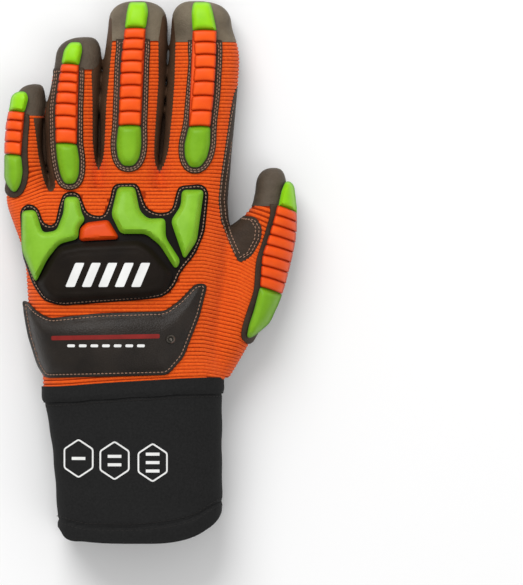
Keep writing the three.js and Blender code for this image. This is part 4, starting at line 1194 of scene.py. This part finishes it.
def finger_guard(finger):
    """The backing, tip, root and ribs of one finger's guard."""
    count, rib_top, rib_end, growth = GUARDS[finger]
    rows = GUARD_ROWS[finger]
    length = FINGERS[finger][2]
    make_object(f"{finger}_backing", *pad(finger_base[finger], SEWN_BASE, rolled(1.25, 0.7, 0.35))[:2],
                M["leather_dark"], "leather", [f"guard_base_{finger}"])
    tip = strip_outline(finger, rows[0][0], rib_top)
    shift = (TIP_REACH[finger] - rows[0][0]) * length
    tip[[0, -1], 1] += shift
    if finger == "thumb":
        tip[[0, -1], 0] = THUMB_TIP
    join = crease(finger, rib_top, 0.5)
    tip = np.vstack([tip[: len(tip) // 2 - 1], join, tip[len(tip) // 2 + 1:]])
    tip = back.held_in(rounded(tip, 1.5), BEYOND[finger])
    verts, tris, edge = pad(tip, 0.2, bevelled(4.6, 2.0, 0.42, 0.3), rings=(0.3, 0.8, 1.6))
    # Painted light: the tip takes the lighter copy of the lime rubber.
    make_object(f"{finger}_tip_rubber", verts, tris, M["tip"], "green_rubber",
                [f"guard_tip_{finger}"], edge=edge)
    root = strip_outline(finger, rib_end, rows[-1][0])
    join = crease(finger, rib_end, 0.5)
    root = rounded(np.vstack([join[::-1], root[1:-1]]), 1.8)
    middle = root.mean(0)
    ridge = [root[root[:, 1].argmax()], middle, root[root[:, 1].argmin()]]

    def root_shape(plan, d):
        flat = bevelled(3.0, 2.8, 0.3, 0.3)(plan, d)
        return flat + 0.35 * np.clip(1 - line_distance(plan, ridge) / 5, 0, 1) * np.clip(d / 3, 0, 1)

    verts, tris, edge = pad(back.held_in(root, BEYOND[finger]), MOULD_BASE, root_shape)
    # Painted shade: the root takes the darker copy of the lime rubber.
    make_object(f"{finger}_root_rubber", verts, tris, M["root"], "green_rubber",
                [f"guard_root_{finger}"], edge=edge)
    pitches = 1 + growth * np.arange(count)
    stations = rib_top - (rib_top - rib_end) * np.concatenate([[0], np.cumsum(pitches)]) / pitches.sum()
    strip = back.held_in(bar_outline(finger, rib_top, rib_end, 0.5), BEYOND[finger] - 0.8)
    parts = [pad(strip, MOULD_BASE, rolled(1.3, 0.5, 0.4), step=1.6)]
    gap = 0.06 / length
    for above, below in zip(stations[:-1], stations[1:]):
        shape = rounded(bar_outline(finger, above - gap, below + gap, 0.5), 0.75, 4)
        shape = back.held_in(shape, BEYOND[finger])
        parts.append(pad(shape, MOULD_BASE, pillow(3.1), step=0.95, spacing=0.7, rings=(0.25, 0.6, 1.0)))
    verts, tris, edge = joined(parts)
    make_object(f"{finger}_rib_rubber", verts, tris, M["orange"], "orange_rubber",
                [f"guard_ribs_{finger}"], edge=edge)


def pillow(height):
    """A rib's soft round top."""
    def shape(plan, d):
        return height * (0.5 + 0.5 * quarter(d / 1.7)) + 0.05 * d
    return shape


for finger in FINGERS:
    finger_guard(finger)
print("finger guards:", len(FINGERS))

# %% [markdown]
# Over the knuckles lies one sewn base with three lime guards, an orange bridge and a dark plate.
# They are injection-moulded pieces with crisp bevels and a few sculpted ridges.

# %% Knuckle guard
make_object("knuckle_backing", *pad(knuckle_base, SEWN_BASE, rolled(1.25, 0.8, 0.35), step=1.5)[:2],
            M["black"], "black_rubber", ["knuckle_base"])
plate = rounded(on_palm(KNUCKLE_PLATE), 3.0)
ridges = {
    "knuckle_guard_left": on_palm([(0.145, 0.89), (0.15, 0.78), (0.17, 0.7), (0.165, 0.6), (0.15, 0.52)]),
    "knuckle_guard_middle": on_palm([(0.63, 1.0), (0.62, 0.86), (0.66, 0.8), (0.78, 0.76), (0.9, 0.59)]),
    "knuckle_guard_index": on_palm([(0.96, 0.99), (0.95, 0.82), (0.925, 0.63)]),
}
for name, outline in KNUCKLE_GUARDS.items():
    ridge = ridges[name]

    def guard_shape(plan, d, ridge=ridge):
        flat = bevelled(4.3, 2.4, 0.35)(plan, d)
        crest = np.clip(1 - line_distance(plan, ridge) / 6.5, 0, 1) * np.clip(d / 2.5, 0, 1)
        under_plate = smoothstep((edge_distance(plan, plate) + 0.5) / 1.0)
        return (flat + 0.9 * crest) * (1 - under_plate) + 1.0 * under_plate

    verts, tris, edge = pad(rounded(on_palm(outline), 2.4), MOULD_BASE, guard_shape, step=1.0)
    make_object(name.replace("guard", "lime"), verts, tris, M["green"], "green_rubber", [name],
                edge=edge, sharp=40)
bridge = moved(rounded(on_palm(KNUCKLE_BRIDGE), 1.2), 0.7)
verts, tris, edge = pad(bridge, MOULD_BASE, bevelled(4.0, 1.8, 0.35, 0.2), step=1.0)
# Painted shade: the bridge takes the darker copy of the orange rubber.
make_object("bridge_rubber", verts, tris, M["orange_shaded"], "orange_rubber", ["knuckle_bridge"], edge=edge)


def plate_shape(plan, d):
    """The plate: a wide bevel, a lower right side and a groove."""
    flat = bevelled(4.3, 3.4, 0.3, 0.35)(plan, d)
    right = np.clip((plan[:, 0] - np.interp(plan[:, 1], [50, 57.5, 70.5], [80, 83.5, 70])) / 6, 0, 1)
    groove = np.exp(-((d - 5.2) / 0.45) ** 2)
    return flat - 1.1 * right * np.clip(d / 3, 0, 1) - 0.22 * groove


verts, tris, edge = pad(plate, MOULD_BASE, plate_shape, step=1.1)
make_object("plate_rubber", verts, tris, M["black"], "black_rubber", ["knuckle_plate"], edge=edge)

# %% [markdown]
# The wrist panel is leather over foam, sewn down along its border. It starts as a low pad with
# slight waves, and is then blown up as cloth under pressure, with the sewn border held still, so
# that it swells and creases as stuffed leather does. Ink, rivet and stitches lie on the result.

# %% Wrist pad
def waves(plan, seed, size):
    """Soft seeded waves, about a size apart."""
    rng = np.random.default_rng(seed)
    total = np.zeros(len(plan))
    for _ in range(7):
        direction = rng.normal(size=2)
        direction *= 2 * np.pi / size / np.linalg.norm(direction)
        total += np.sin(plan @ direction * rng.uniform(0.7, 1.4) + rng.uniform(0, 6.28))
    return total / 7


def wrist_shape(plan, d):
    """The sewn border, the swell and the slight waves of the wrist panel."""
    border = rolled(1.1, 0.8, 0.4)(plan, d)
    swell = 3.1 * (1 - (1 - np.clip((d - 1.9) / 8, 0, 1)) ** 2.2)
    dip = 0.25 * np.exp(-((d - 1.6) / 0.5) ** 2)
    return border + swell - dip + 0.35 * waves(plan, 3, 26) * np.clip((d - 2) / 5, 0, 1)


def inflated(verts, tris, held, pressure, limit, frames=20):
    """A closed pad after cloth pressure, in ten times its size, with the held corners kept still."""
    mesh = bpy.data.meshes.new("swell")
    mesh.from_pydata((verts / 100).tolist(), [], tris.tolist())
    source = placed("swell", mesh)
    group = source.vertex_groups.new(name="held")
    group.add(np.nonzero(held)[0].tolist(), 1.0, "REPLACE")
    cloth = source.modifiers.new("swell", "CLOTH")
    cloth.settings.quality = 6
    cloth.settings.mass = 0.1
    cloth.settings.tension_stiffness = 25
    cloth.settings.compression_stiffness = 10
    cloth.settings.bending_stiffness = 2.0
    cloth.settings.use_pressure = True
    cloth.settings.uniform_pressure_force = pressure
    cloth.settings.vertex_group_mass = "held"
    cloth.settings.effector_weights.gravity = 0
    cloth.point_cache.frame_start, cloth.point_cache.frame_end = 1, frames
    for frame_number in range(1, frames + 1):
        scene.frame_set(frame_number)
    made = made_mesh(source)
    after = np.empty(len(made.vertices) * 3)
    made.vertices.foreach_get("co", after)
    move = after.reshape(-1, 3) * 100 - verts
    length = np.linalg.norm(move, axis=1)[:, None] + 1e-9
    scene.frame_set(1)
    print("swell, mm: mean", length[~held].mean().round(2), "most", length.max().round(2))
    return verts + move * np.minimum(1, limit / length)


verts, tris, edge = pad(wrist_pad, SEWN_BASE, wrist_shape, step=1.3)
verts = inflated(verts, tris, edge < 2.0, 4.0, 1.6)
wrist_surface = Heights(verts, tris, (4, 0), (112, 56), 0.0)
wrist_piece = make_object("wrist_cushion", verts, tris, M["pad"], "pad_leather", ["wrist_pad"], edge=edge)


def ring(centre, radius, count=28):
    """A circle as an outline."""
    angle = np.linspace(0, 2 * np.pi, count, endpoint=False)
    return np.stack([centre[0] + radius * np.cos(angle), centre[1] + radius * np.sin(angle)], 1)


RIVET = (85.5, 23.0)


def rivet_shape(plan, d):
    """A rivet's raised ring and low middle."""
    r = np.linalg.norm(plan - np.array(RIVET), axis=1)
    return 0.4 + 1.0 * np.exp(-((r - 1.6) / 0.5) ** 2) - 0.2 * (r < 0.8)


verts, tris, edge = pad(ring(RIVET, 2.35), 0.0, rivet_shape, wrist_surface,
                        step=0.4, spacing=0.5, rings=(0.2, 0.4))
make_object("rivet_steel", verts, tris, M["steel"], "steel", ["wrist_rivet"], edge=edge)

# %% [markdown]
# The palm has two leather patches where the hand grips most. They are flat, because the glove
# rests on them.

# %% Palm patches
for name, outline in PALM_PATCHES.items():
    verts, tris, edge = pad(rounded(on_palm(outline), 4), 0.0, rolled(1.55, 0.7, 0.4), under, step=1.5)
    verts[:, 2] = np.maximum(verts[:, 2], 0.02)
    make_object(name.replace("palm", "suede"), verts, tris, M["suede"], "suede", [name], edge=edge)

# %% [markdown]
# The cuff is a tube of soft sheet neoprene in three parts: a turned band at the wrist, the tube and
# a curved hem. Shallow folds run round it, and the seams are narrow grooves.

# %% Cuff
def cuff_rings(sides=120):
    """The sections of the cuff, from its hem to the wrist."""
    stations = np.linspace(CUFF_ROWS[0][0], CUFF_ROWS[-1][0], 78)
    rings = []
    for r in eased(CUFF_ROWS, stations):
        left, right = CUFF_LEFT + r[1] * CUFF_WIDTH, CUFF_LEFT + r[2] * CUFF_WIDTH
        rings.append(section(left, right, -r[0] * CUFF_LENGTH, CUFF_FLOOR, CUFF_FLOOR + CUFF_HEIGHT, sides))
    return rings[::-1]


cuff_v, cuff_t = loft(cuff_rings())
band_line = wrist - np.array([0, CUFF_BAND])
hem = on_cuff(HEM_LINE)
fold = 0.5 * waves(cuff_v[:, [0, 1]] * np.array([0.45, 1.6]), 8, 30)
to_band = cuff_v[:, 1] - along_x(band_line, cuff_v[:, 0])
to_hem = cuff_v[:, 1] - along_x(hem, cuff_v[:, 0])
groove = 0.55 * np.exp(-(to_band / 0.8) ** 2) + 0.55 * np.exp(-(to_hem / 0.8) ** 2)
swelling = 0.5 * np.exp(-((to_band - 2.5) / 2.2) ** 2) + 0.35 * np.exp(-((to_hem + 3) / 2.5) ** 2)
normal = vertex_normals(cuff_v, cuff_t)
calm = smoothstep((cuff_v[:, 2] - CUFF_FLOOR - 3) / 8)
cuff_v = cuff_v + normal * ((fold - groove + swelling * 0.6) * calm)[:, None]
below_wrist = along_x(wrist, cuff_v[:, 0]) + 0.5 - cuff_v[:, 1]
(cuff_v, cuff_t), _ = cut(cuff_v, cuff_t, below_wrist)
(cuff_v, cuff_t), _ = cut(cuff_v, cuff_t, cuff_v[:, 1] - along_x(on_cuff(CUFF_END), cuff_v[:, 0]))
cuff_surface = Heights(cuff_v, cuff_t, (14, -84), (118, 6), 12.0)
(band_v, band_t), (rest_v, rest_t) = cut(cuff_v, cuff_t, cuff_v[:, 1] - along_x(band_line, cuff_v[:, 0]))
(tube_v, tube_t), (hem_v, hem_t) = cut(rest_v, rest_t, rest_v[:, 1] - along_x(hem, rest_v[:, 0]))
for name, sheet, outwards, node in (
    ("band_neoprene", (band_v, band_t), 0.7, "cuff_band"),
    ("tube_neoprene", (tube_v, tube_t), 0.0, "cuff"),
    ("hem_neoprene", (hem_v, hem_t), 0.2, "cuff_hem"),
):
    make_object(name, *thickened(*sheet, CUFF_SHEET, outwards), M["neoprene"], "neoprene", [node])
print("cuff:", len(cuff_t), "triangles before thickening")

# %% [markdown]
# Under the cuff hangs a pull tab: a webbing strap, a label sewn on it and a rubber loop.

# %% Pull tab
def slab(outline, low, high, radius=0.4, step=2.0):
    """A flat piece with softly rounded edges, lying level."""
    plan, tris = mesh_inside(walked(outline, 0.9), step, (0.2, 0.45))
    d = np.maximum(edge_distance(plan, outline), 0)
    share = quarter(d / radius)
    middle, half = (low + high) / 2, (high - low) / 2
    top = np.column_stack([plan, middle + half * (0.35 + 0.65 * share)])
    bottom = np.column_stack([plan, middle - half * (0.35 + 0.65 * share)])
    used = np.unique(tris)
    index = np.full(len(plan), -1)
    index[used] = np.arange(len(used))
    return thick_pair(top[used], bottom[used], index[tris])


def box_outline(x, top, width, length, radius=1.5):
    """A rounded box, given by its middle and its top."""
    return rounded([(x - width / 2, top - length), (x + width / 2, top - length),
                    (x + width / 2, top), (x - width / 2, top)], radius)


strap_up = box_outline(TAB_X, TAB_TOP, 20, 18, 0.6)
strap_low = box_outline(TAB_X, TAB_TOP - 18.1, 20, 29.9, 0.6)
make_object("strap_webbing", *slab(strap_up, 1.4, 2.6), M["webbing"], "webbing", ["tab_strap"])
make_object("strap_folded", *slab(strap_low, 1.35, 2.65), M["neoprene"], "webbing", ["tab_strap"])
label_top = TAB_TOP - 5
label = slab(box_outline(TAB_X, label_top - 0.5, 29, 33, 2.6), 0.35, 0.95)
make_object("label_orange", *label, M["orange"], "orange_rubber", ["tab_label"])
frame_outline = box_outline(TAB_X, label_top, 30, 34, 3.0)
window = rounded(np.array([(TAB_X - 12, label_top - 28), (TAB_X + 12, label_top - 28),
                           (TAB_X + 12, label_top - 8.5), (TAB_X + 2, label_top - 8.5),
                           (TAB_X - 1, label_top - 10.5), (TAB_X - 12, label_top - 10.5)]), 1.6)
loop_top = TAB_TOP - 48.3


def holed_slab(outline, hole, low, high):
    """A flat frame: rings of the outline and of the hole joined by strips."""
    count = 96
    outer = walked(outline, 1.0)
    stations, known = np.linspace(0, len(outer), count, endpoint=False), np.arange(len(outer) + 1)
    outer = np.stack([np.interp(stations, known, np.append(outer[:, k], outer[0, k])) for k in range(2)], 1)
    inner = walked(hole, 1.0)
    middle = outer.mean(0)
    inner_angle = np.arctan2(*(inner - middle).T[::-1])
    order = np.argsort(inner_angle)
    angle = np.arctan2(*(outer - middle).T[::-1])
    turns, inner = inner_angle[order], inner[order]
    inner = np.stack([np.interp(angle, turns, inner[:, k], period=2 * np.pi) for k in range(2)], 1)
    share = (0.0, 0.12, 0.35, 0.65, 0.88, 1.0)
    lift = (0.35, 0.85, 1.0, 1.0, 0.85, 0.35)
    level, half = (low + high) / 2, (high - low) / 2
    rings = [np.column_stack([outer * (1 - s) + inner * s, np.full(count, level + half * k)])
             for s, k in zip(share, lift)]
    rings += [np.column_stack([outer * (1 - s) + inner * s, np.full(count, level - half * k)])
              for s, k in zip(share[::-1], lift[::-1])]
    tris = []
    for row in range(len(rings)):
        for side in range(count):
            a, b = row * count + side, row * count + (side + 1) % count
            c, d = (a + count) % (len(rings) * count), (b + count) % (len(rings) * count)
            tris += [(a, b, c), (b, d, c)]
    verts = np.vstack(rings)
    tris = np.array(tris)
    volume = np.einsum("ij,ij->", verts[tris[:, 0]], np.cross(verts[tris[:, 1]], verts[tris[:, 2]]))
    return verts, tris if volume > 0 else tris[:, ::-1]


loop_outline = box_outline(TAB_X, loop_top, 25, 16, 2.5)
loop_hole = box_outline(TAB_X, loop_top - 4.5, 14, 7, 1.2)
loop = holed_slab(loop_outline, loop_hole, 0.05, 2.6)
make_object("loop_rubber", *loop, M["black"], "black_rubber", ["tab_loop"])
make_object("label_border", *holed_slab(frame_outline, window, 0.02, 1.2), M["black"], "black_rubber")

# %% [markdown]
# Stitches and grip dots repeat, so they come from small Geometry Nodes setups. A row of stitches
# is a line on the surface, resampled to one stitch length, with a lens-shaped thread on each
# point. A dot is a low dome that stands on the leather.

# %% Geometry Nodes
def geometry_group(name, inputs):
    """An empty Geometry Nodes group with its sockets."""
    tree = bpy.data.node_groups.new(name, "GeometryNodeTree")
    tree.interface.new_socket(name="Geometry", in_out="INPUT", socket_type="NodeSocketGeometry")
    for label, kind in inputs:
        tree.interface.new_socket(name=label, in_out="INPUT", socket_type=kind)
    tree.interface.new_socket(name="Geometry", in_out="OUTPUT", socket_type="NodeSocketGeometry")
    helper = Tree(tree)
    return helper, helper.add("NodeGroupInput"), helper.add("NodeGroupOutput")


def stitch_group():
    """A thread on each even step of a line."""
    t, given, out = geometry_group("stitches", [
        ("Spacing", "NodeSocketFloat"), ("Size", "NodeSocketVector"), ("Material", "NodeSocketMaterial")])
    line = t.add("GeometryNodeMeshToCurve", {"Mesh": given.outputs["Geometry"]})
    even = t.add("GeometryNodeResampleCurve", {"Curve": line.outputs[0]})
    even.mode = "LENGTH"
    t.join(given.outputs["Spacing"], even.inputs["Length"])
    tangent = t.add("GeometryNodeInputTangent")
    turn = t.add("FunctionNodeAlignRotationToVector", {"Vector": tangent.outputs[0]}, axis="X")
    thread = t.add("GeometryNodeMeshUVSphere", {"Segments": 6, "Rings": 5, "Radius": 1.0})
    lying = t.add("GeometryNodeTransform", {
        "Geometry": thread.outputs["Mesh"], "Rotation": (0, math.pi / 2, 0)})
    many = t.add("GeometryNodeInstanceOnPoints", {
        "Points": even.outputs[0], "Instance": lying.outputs[0], "Rotation": turn.outputs[0],
        "Scale": given.outputs["Size"]})
    real = t.add("GeometryNodeRealizeInstances", {"Geometry": many.outputs[0]})
    smooth = t.add("GeometryNodeSetShadeSmooth", {"Geometry": real.outputs[0]})
    finish = t.add("GeometryNodeSetMaterial", {
        "Geometry": smooth.outputs[0], "Material": given.outputs["Material"]})
    t.join(finish.outputs[0], out.inputs[0])
    return t.tree


def dot_group():
    """A dome on each point, turned to face outwards."""
    t, given, out = geometry_group("grip_dots", [
        ("Radius", "NodeSocketFloat"), ("Height", "NodeSocketFloat"), ("Material", "NodeSocketMaterial")])
    facing = t.add("GeometryNodeInputNamedAttribute", {"Name": "facing"}, data_type="FLOAT_VECTOR")
    turn = t.add("FunctionNodeAlignRotationToVector", {"Vector": facing.outputs[0]}, axis="Z")
    dome = t.add("GeometryNodeMeshUVSphere", {"Segments": 10, "Rings": 6, "Radius": 1.0})
    size = t.add("ShaderNodeCombineXYZ", {"X": given.outputs["Radius"], "Y": given.outputs["Radius"],
                                          "Z": given.outputs["Height"]})
    points = t.add("GeometryNodeMeshToPoints", {"Mesh": given.outputs["Geometry"]})
    many = t.add("GeometryNodeInstanceOnPoints", {
        "Points": points.outputs[0], "Instance": dome.outputs["Mesh"], "Rotation": turn.outputs[0],
        "Scale": size.outputs[0]})
    real = t.add("GeometryNodeRealizeInstances", {"Geometry": many.outputs[0]})
    smooth = t.add("GeometryNodeSetShadeSmooth", {"Geometry": real.outputs[0]})
    finish = t.add("GeometryNodeSetMaterial", {
        "Geometry": smooth.outputs[0], "Material": given.outputs["Material"]})
    t.join(finish.outputs[0], out.inputs[0])
    return t.tree


def through_nodes(name, mesh, group, values):
    """Runs a mesh through a group and keeps the result as a plain mesh."""
    source = placed(name + "_source", mesh)
    modifier = source.modifiers.new("nodes", "NODES")
    modifier.node_group = group
    for item in group.interface.items_tree:
        if item.in_out == "INPUT" and item.name in values:
            modifier[item.identifier] = values[item.name]
    source.update_tag()
    made = made_mesh(source)
    made.name = name
    piece = placed(name, made)
    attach(piece, "root")
    return piece


STITCH, DOT = stitch_group(), dot_group()


def stitched(name, lines, thread, spacing=2.5, size=(0.85, 0.3, 0.3)):
    """Rows of stitches along lines."""
    verts, edges = [], []
    for points, closed in lines:
        start = sum(len(v) for v in verts)
        verts.append((np.asarray(points) + SHIFT) / 1000)
        edges += [(start + k, start + k + 1) for k in range(len(points) - 1)]
        if closed:
            edges.append((start + len(points) - 1, start))
    mesh = bpy.data.meshes.new(name)
    mesh.from_pydata(np.vstack(verts).tolist(), edges, [])
    return through_nodes(name, mesh, STITCH, {
        "Spacing": spacing / 1000, "Size": tuple(v / 1000 for v in size), "Material": M[thread]})


def row_on(surface, outline, inset, lift, closed=True, step=0.8, keep=None):
    """Lines on a surface, a distance inside an outline, where the surface lies under them."""
    plan = walked(outline, step, closed)
    if closed:
        plan = walked(moved(plan, -inset), step)
    held = surface.over(plan)
    if keep is not None:
        held &= keep(plan)
    line = np.column_stack([plan, surface.at(plan, lift)])
    if held.all():
        return [(line, closed)]
    first = int(np.argmin(held))
    line, held = np.roll(line, -first, axis=0), np.roll(held, -first)
    runs, start = [], None
    for k in range(len(line) + 1):
        inside = k < len(line) and held[k]
        if inside and start is None:
            start = k
        if not inside and start is not None:
            if k - start > 4:
                runs.append((line[start:k], False))
            start = None
    return runs


# %% Stitches
brown_rows = []
for finger in ("ring", "middle", "index"):
    top = finger_base[finger][:, 1].max()
    for inset in (0.9, 1.9):
        brown_rows += row_on(back, finger_base[finger], inset, 1.6,
                             keep=lambda plan: plan[:, 1] < top - 1.5)
brown_rows += row_on(back, knuckle_base, 1.2, 1.65)
band_edge = on_palm([(1.158, 1.4), (1.148, 1.35), (1.125, 1.2), (1.1, 1.025), (1.09, 0.925), (1.1, 0.83),
                     (1.13, 0.74), (1.165, 0.662)])
for inset in (1.0, 3.0):
    brown_rows += row_on(back, band_edge + np.array([inset, 0]), 0, 0.6, closed=False)
right_side = on_palm([(1.225, 0.64), (1.26, 0.662), (1.295, 0.73), (1.3, 0.785), (1.275, 0.825),
                      (1.2, 0.835)])
for inset in (0.4, 2.2):
    brown_rows += row_on(back, right_side - np.array([inset, 0]), 0, 0.6, closed=False)
stitched("stitches_back", brown_rows, "brown", 1.9, (0.72, 0.32, 0.3))
stitched("stitches_wrist_pad", row_on(wrist_surface, wrist_pad, 1.6, 0.1), "brown", 2.0, (0.75, 0.3, 0.28))
palm_rows = []
for outline in PALM_PATCHES.values():
    shape = rounded(on_palm(outline), 4)
    for inset in (1.4, 3.1):
        palm_rows += row_on(under, shape, inset, 1.5)
stitched("stitches_palm", palm_rows, "tan", 2.6, (1.0, 0.34, 0.26))
cuff_rows = []
for line, shift in ((band_line, -1.6), (hem, 1.6), (hem, -1.6)):
    x = np.arange(20, 114, 0.8)
    cuff_rows += row_on(cuff_surface, np.column_stack([x, along_x(line, x) + shift]), 0, 0.12, closed=False)
stitched("stitches_cuff", cuff_rows, "dark", 2.4, (0.95, 0.26, 0.2))
tab_rows = []
for side in (-1, 1):
    line = np.array([(TAB_X + side * 8.6, y) for y in np.arange(TAB_TOP - 46, label_top - 34.5, 0.8)])
    tab_rows.append((np.column_stack([line, np.full(len(line), 1.38)]), False))
stitched("stitches_tab", tab_rows, "tan", 2.2, (0.8, 0.28, 0.2))

# %% [markdown]
# Grip dots stand in an even grid on the leather of the palm and the fingers, where no patch lies.

# %% Grip dots
dot_points, dot_facing = [], []
tree = BVHTree.FromPolygons(palm_v.tolist(), palm_t.tolist())
patch_shapes = [rounded(on_palm(o), 4) for o in PALM_PATCHES.values()]
for x in np.arange(4, 146, DOT_PITCH):
    for y in np.arange(4, 192, DOT_PITCH):
        hit, facing, _, _ = tree.ray_cast(Vector((x, y, -20)), Vector((0, 0, 1)))
        if hit is None or facing.z > -0.75:
            continue
        if max(edge_distance([(x, y)], s)[0] for s in patch_shapes) > -2:
            continue
        dot_points.append(hit)
        dot_facing.append(facing)
mesh = bpy.data.meshes.new("grip_dots")
mesh.from_pydata(((np.array(dot_points) + SHIFT) / 1000).tolist(), [], [])
turned = mesh.attributes.new("facing", "FLOAT_VECTOR", "POINT")
turned.data.foreach_set("vector", np.array(dot_facing).ravel())
through_nodes("grip_dots", mesh, DOT, {"Radius": 0.0012, "Height": 0.0007, "Material": M["dot"]})
print("grip dots:", len(dot_points))


# %% [markdown]
# The printed marks are generic: slanted bars on the plate, a stripe and dashes on the wrist pad,
# and three plain hexagons on the cuff. Each is a thin layer of ink on its surface.

# %% Prints
def stroke(points, width, surface, lift, closed=True):
    """A printed line on a surface."""
    plan = walked(points, 0.7, closed)
    ahead = (np.roll(plan, -1, 0) - np.roll(plan, 1, 0)) if closed else np.gradient(plan, axis=0)
    normal = np.stack([ahead[:, 1], -ahead[:, 0]], 1)
    normal /= np.linalg.norm(normal, axis=1)[:, None]
    rows = [plan + normal * width / 2, plan - normal * width / 2]
    top = np.vstack([np.column_stack([r, surface.at(r, lift)]) for r in rows])
    low = np.vstack([np.column_stack([r, surface.at(r, 0) - 0.2]) for r in rows])
    n = len(plan)
    k = np.arange(n if closed else n - 1)
    after = (k + 1) % n
    tris = np.vstack([np.stack([k, after, after + n], 1), np.stack([k, after + n, k + n], 1)])
    corners = top[tris[0]]
    if np.cross(corners[1] - corners[0], corners[2] - corners[0])[2] < 0:
        tris = tris[:, ::-1]
    return thick_pair(top, low, tris)


def inked(outline, radius, surface, spacing=0.8):
    """A thin layer of ink over an outline."""
    return pad(rounded(outline, radius), 0.0, lambda plan, d: np.full(len(plan), INK), surface,
               step=1.2, spacing=spacing, rings=())[:2]


class Plate:
    """The top of the plate as a surface for ink."""

    side = 1

    def __init__(self, outline, shape, base):
        self.outline, self.shape, self.base = outline, shape, base

    def at(self, points, lift):
        points = np.asarray(points, float)
        d = np.maximum(edge_distance(points, self.outline), 0)
        return back.at(points, self.base + self.shape(points, d) + lift)


on_plate = Plate(walked(plate, 0.9), plate_shape, MOULD_BASE)
white_parts = []
for k in range(5):
    x = 33 + 8.2 * k
    bar = [(x, 49), (x + 4.6, 49), (x + 9.6, 61), (x + 5, 61)]
    white_parts.append(inked(bar, 0.4, on_plate))
stripe = [(26, 22.4), (80, 23.4), (80, 25.6), (26, 24.6)]
for k in range(7):
    x = 34 + 5.8 * k
    dash = [(x, 19.0), (x + 3.8, 19.0), (x + 3.8, 20.4), (x, 20.4)]
    white_parts.append(inked(dash, 0.2, wrist_surface, 0.7))
for k, x in enumerate((39.5, 57.5, 76.5)):
    y = -36.5 - k
    turns = [math.radians(a) for a in range(30, 390, 60)]
    corners = [(x + 8.2 * math.cos(a), y + 9.4 * math.sin(a)) for a in turns]
    white_parts.append(stroke(rounded(corners, 0.8, 3), 0.8, cuff_surface, 0.12))
    for j in range(k + 1):
        level = y + (j - k / 2) * 4.2
        line = [(x - 3.4, level), (x + 3.4, level)]
        white_parts.append(stroke(line, 1.5, cuff_surface, 0.12, closed=False))
verts, tris, _ = joined(white_parts)
make_object("print_white", verts, tris, M["white"], sharp=30)
make_object("print_red", *inked(stripe, 0.3, wrist_surface), M["red"], sharp=30)

# %% [markdown]
# The camera looks straight down through a long lens, so the view is nearly without perspective. The
# floor is pale and the light is one large soft lamp from the upper left, with even light around.

# %% Camera, floor and light
FIELD = 0.2925
DISTANCE = 6.0
camera_data = bpy.data.cameras.new("camera")
camera_data.sensor_fit = "AUTO"
camera_data.sensor_width = 36
camera_data.lens = 36 * DISTANCE / FIELD
camera_data.clip_start, camera_data.clip_end = 0.1, 30
camera = placed("camera", camera_data)
camera.location = (0.0560, -0.0105, DISTANCE + 0.02)
scene.camera = camera

floor_material = bpy.data.materials.new("floor")
floor_material.use_nodes = True
shader = floor_material.node_tree.nodes["Principled BSDF"]
shader.inputs["Base Color"].default_value = (0.93, 0.93, 0.93, 1)
shader.inputs["Roughness"].default_value = 0.9
floor_mesh = bpy.data.meshes.new("floor")
REACH, FLOOR_LEVEL = 4.0, -0.0002
floor_corners = [(-REACH, -REACH), (REACH, -REACH), (REACH, REACH), (-REACH, REACH)]
floor_mesh.from_pydata([(x, y, FLOOR_LEVEL) for x, y in floor_corners], [], [(0, 1, 2, 3)])
floor_mesh.materials.append(floor_material)
floor = placed("floor", floor_mesh)
floor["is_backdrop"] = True


def lamp(name, place, size, power):
    """A soft round lamp that points at the glove."""
    data = bpy.data.lights.new(name, "AREA")
    data.shape = "DISK"
    data.size = size
    data.energy = power
    piece = placed(name, data)
    piece.location = place
    piece.rotation_euler = (-Vector(place)).to_track_quat("-Z", "Y").to_euler()


lamp("key", (-0.7, 1.9, 1.9), 2.0, 55)
lamp("fill", (1.2, -1.0, 1.9), 1.8, 8)
world = bpy.data.worlds.new("world")
world.use_nodes = True
world.node_tree.nodes["Background"].inputs["Color"].default_value = (1, 1, 1, 1)
world.node_tree.nodes["Background"].inputs["Strength"].default_value = 0.58
scene.world = world
scene.view_settings.view_transform = "Standard"
scene.view_settings.look = "None"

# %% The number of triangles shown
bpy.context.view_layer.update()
shown = [piece.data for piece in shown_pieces() if piece.type == "MESH"]
for mesh in shown:
    mesh.calc_loop_triangles()
print("triangles shown:", sum(len(mesh.loop_triangles) for mesh in shown))
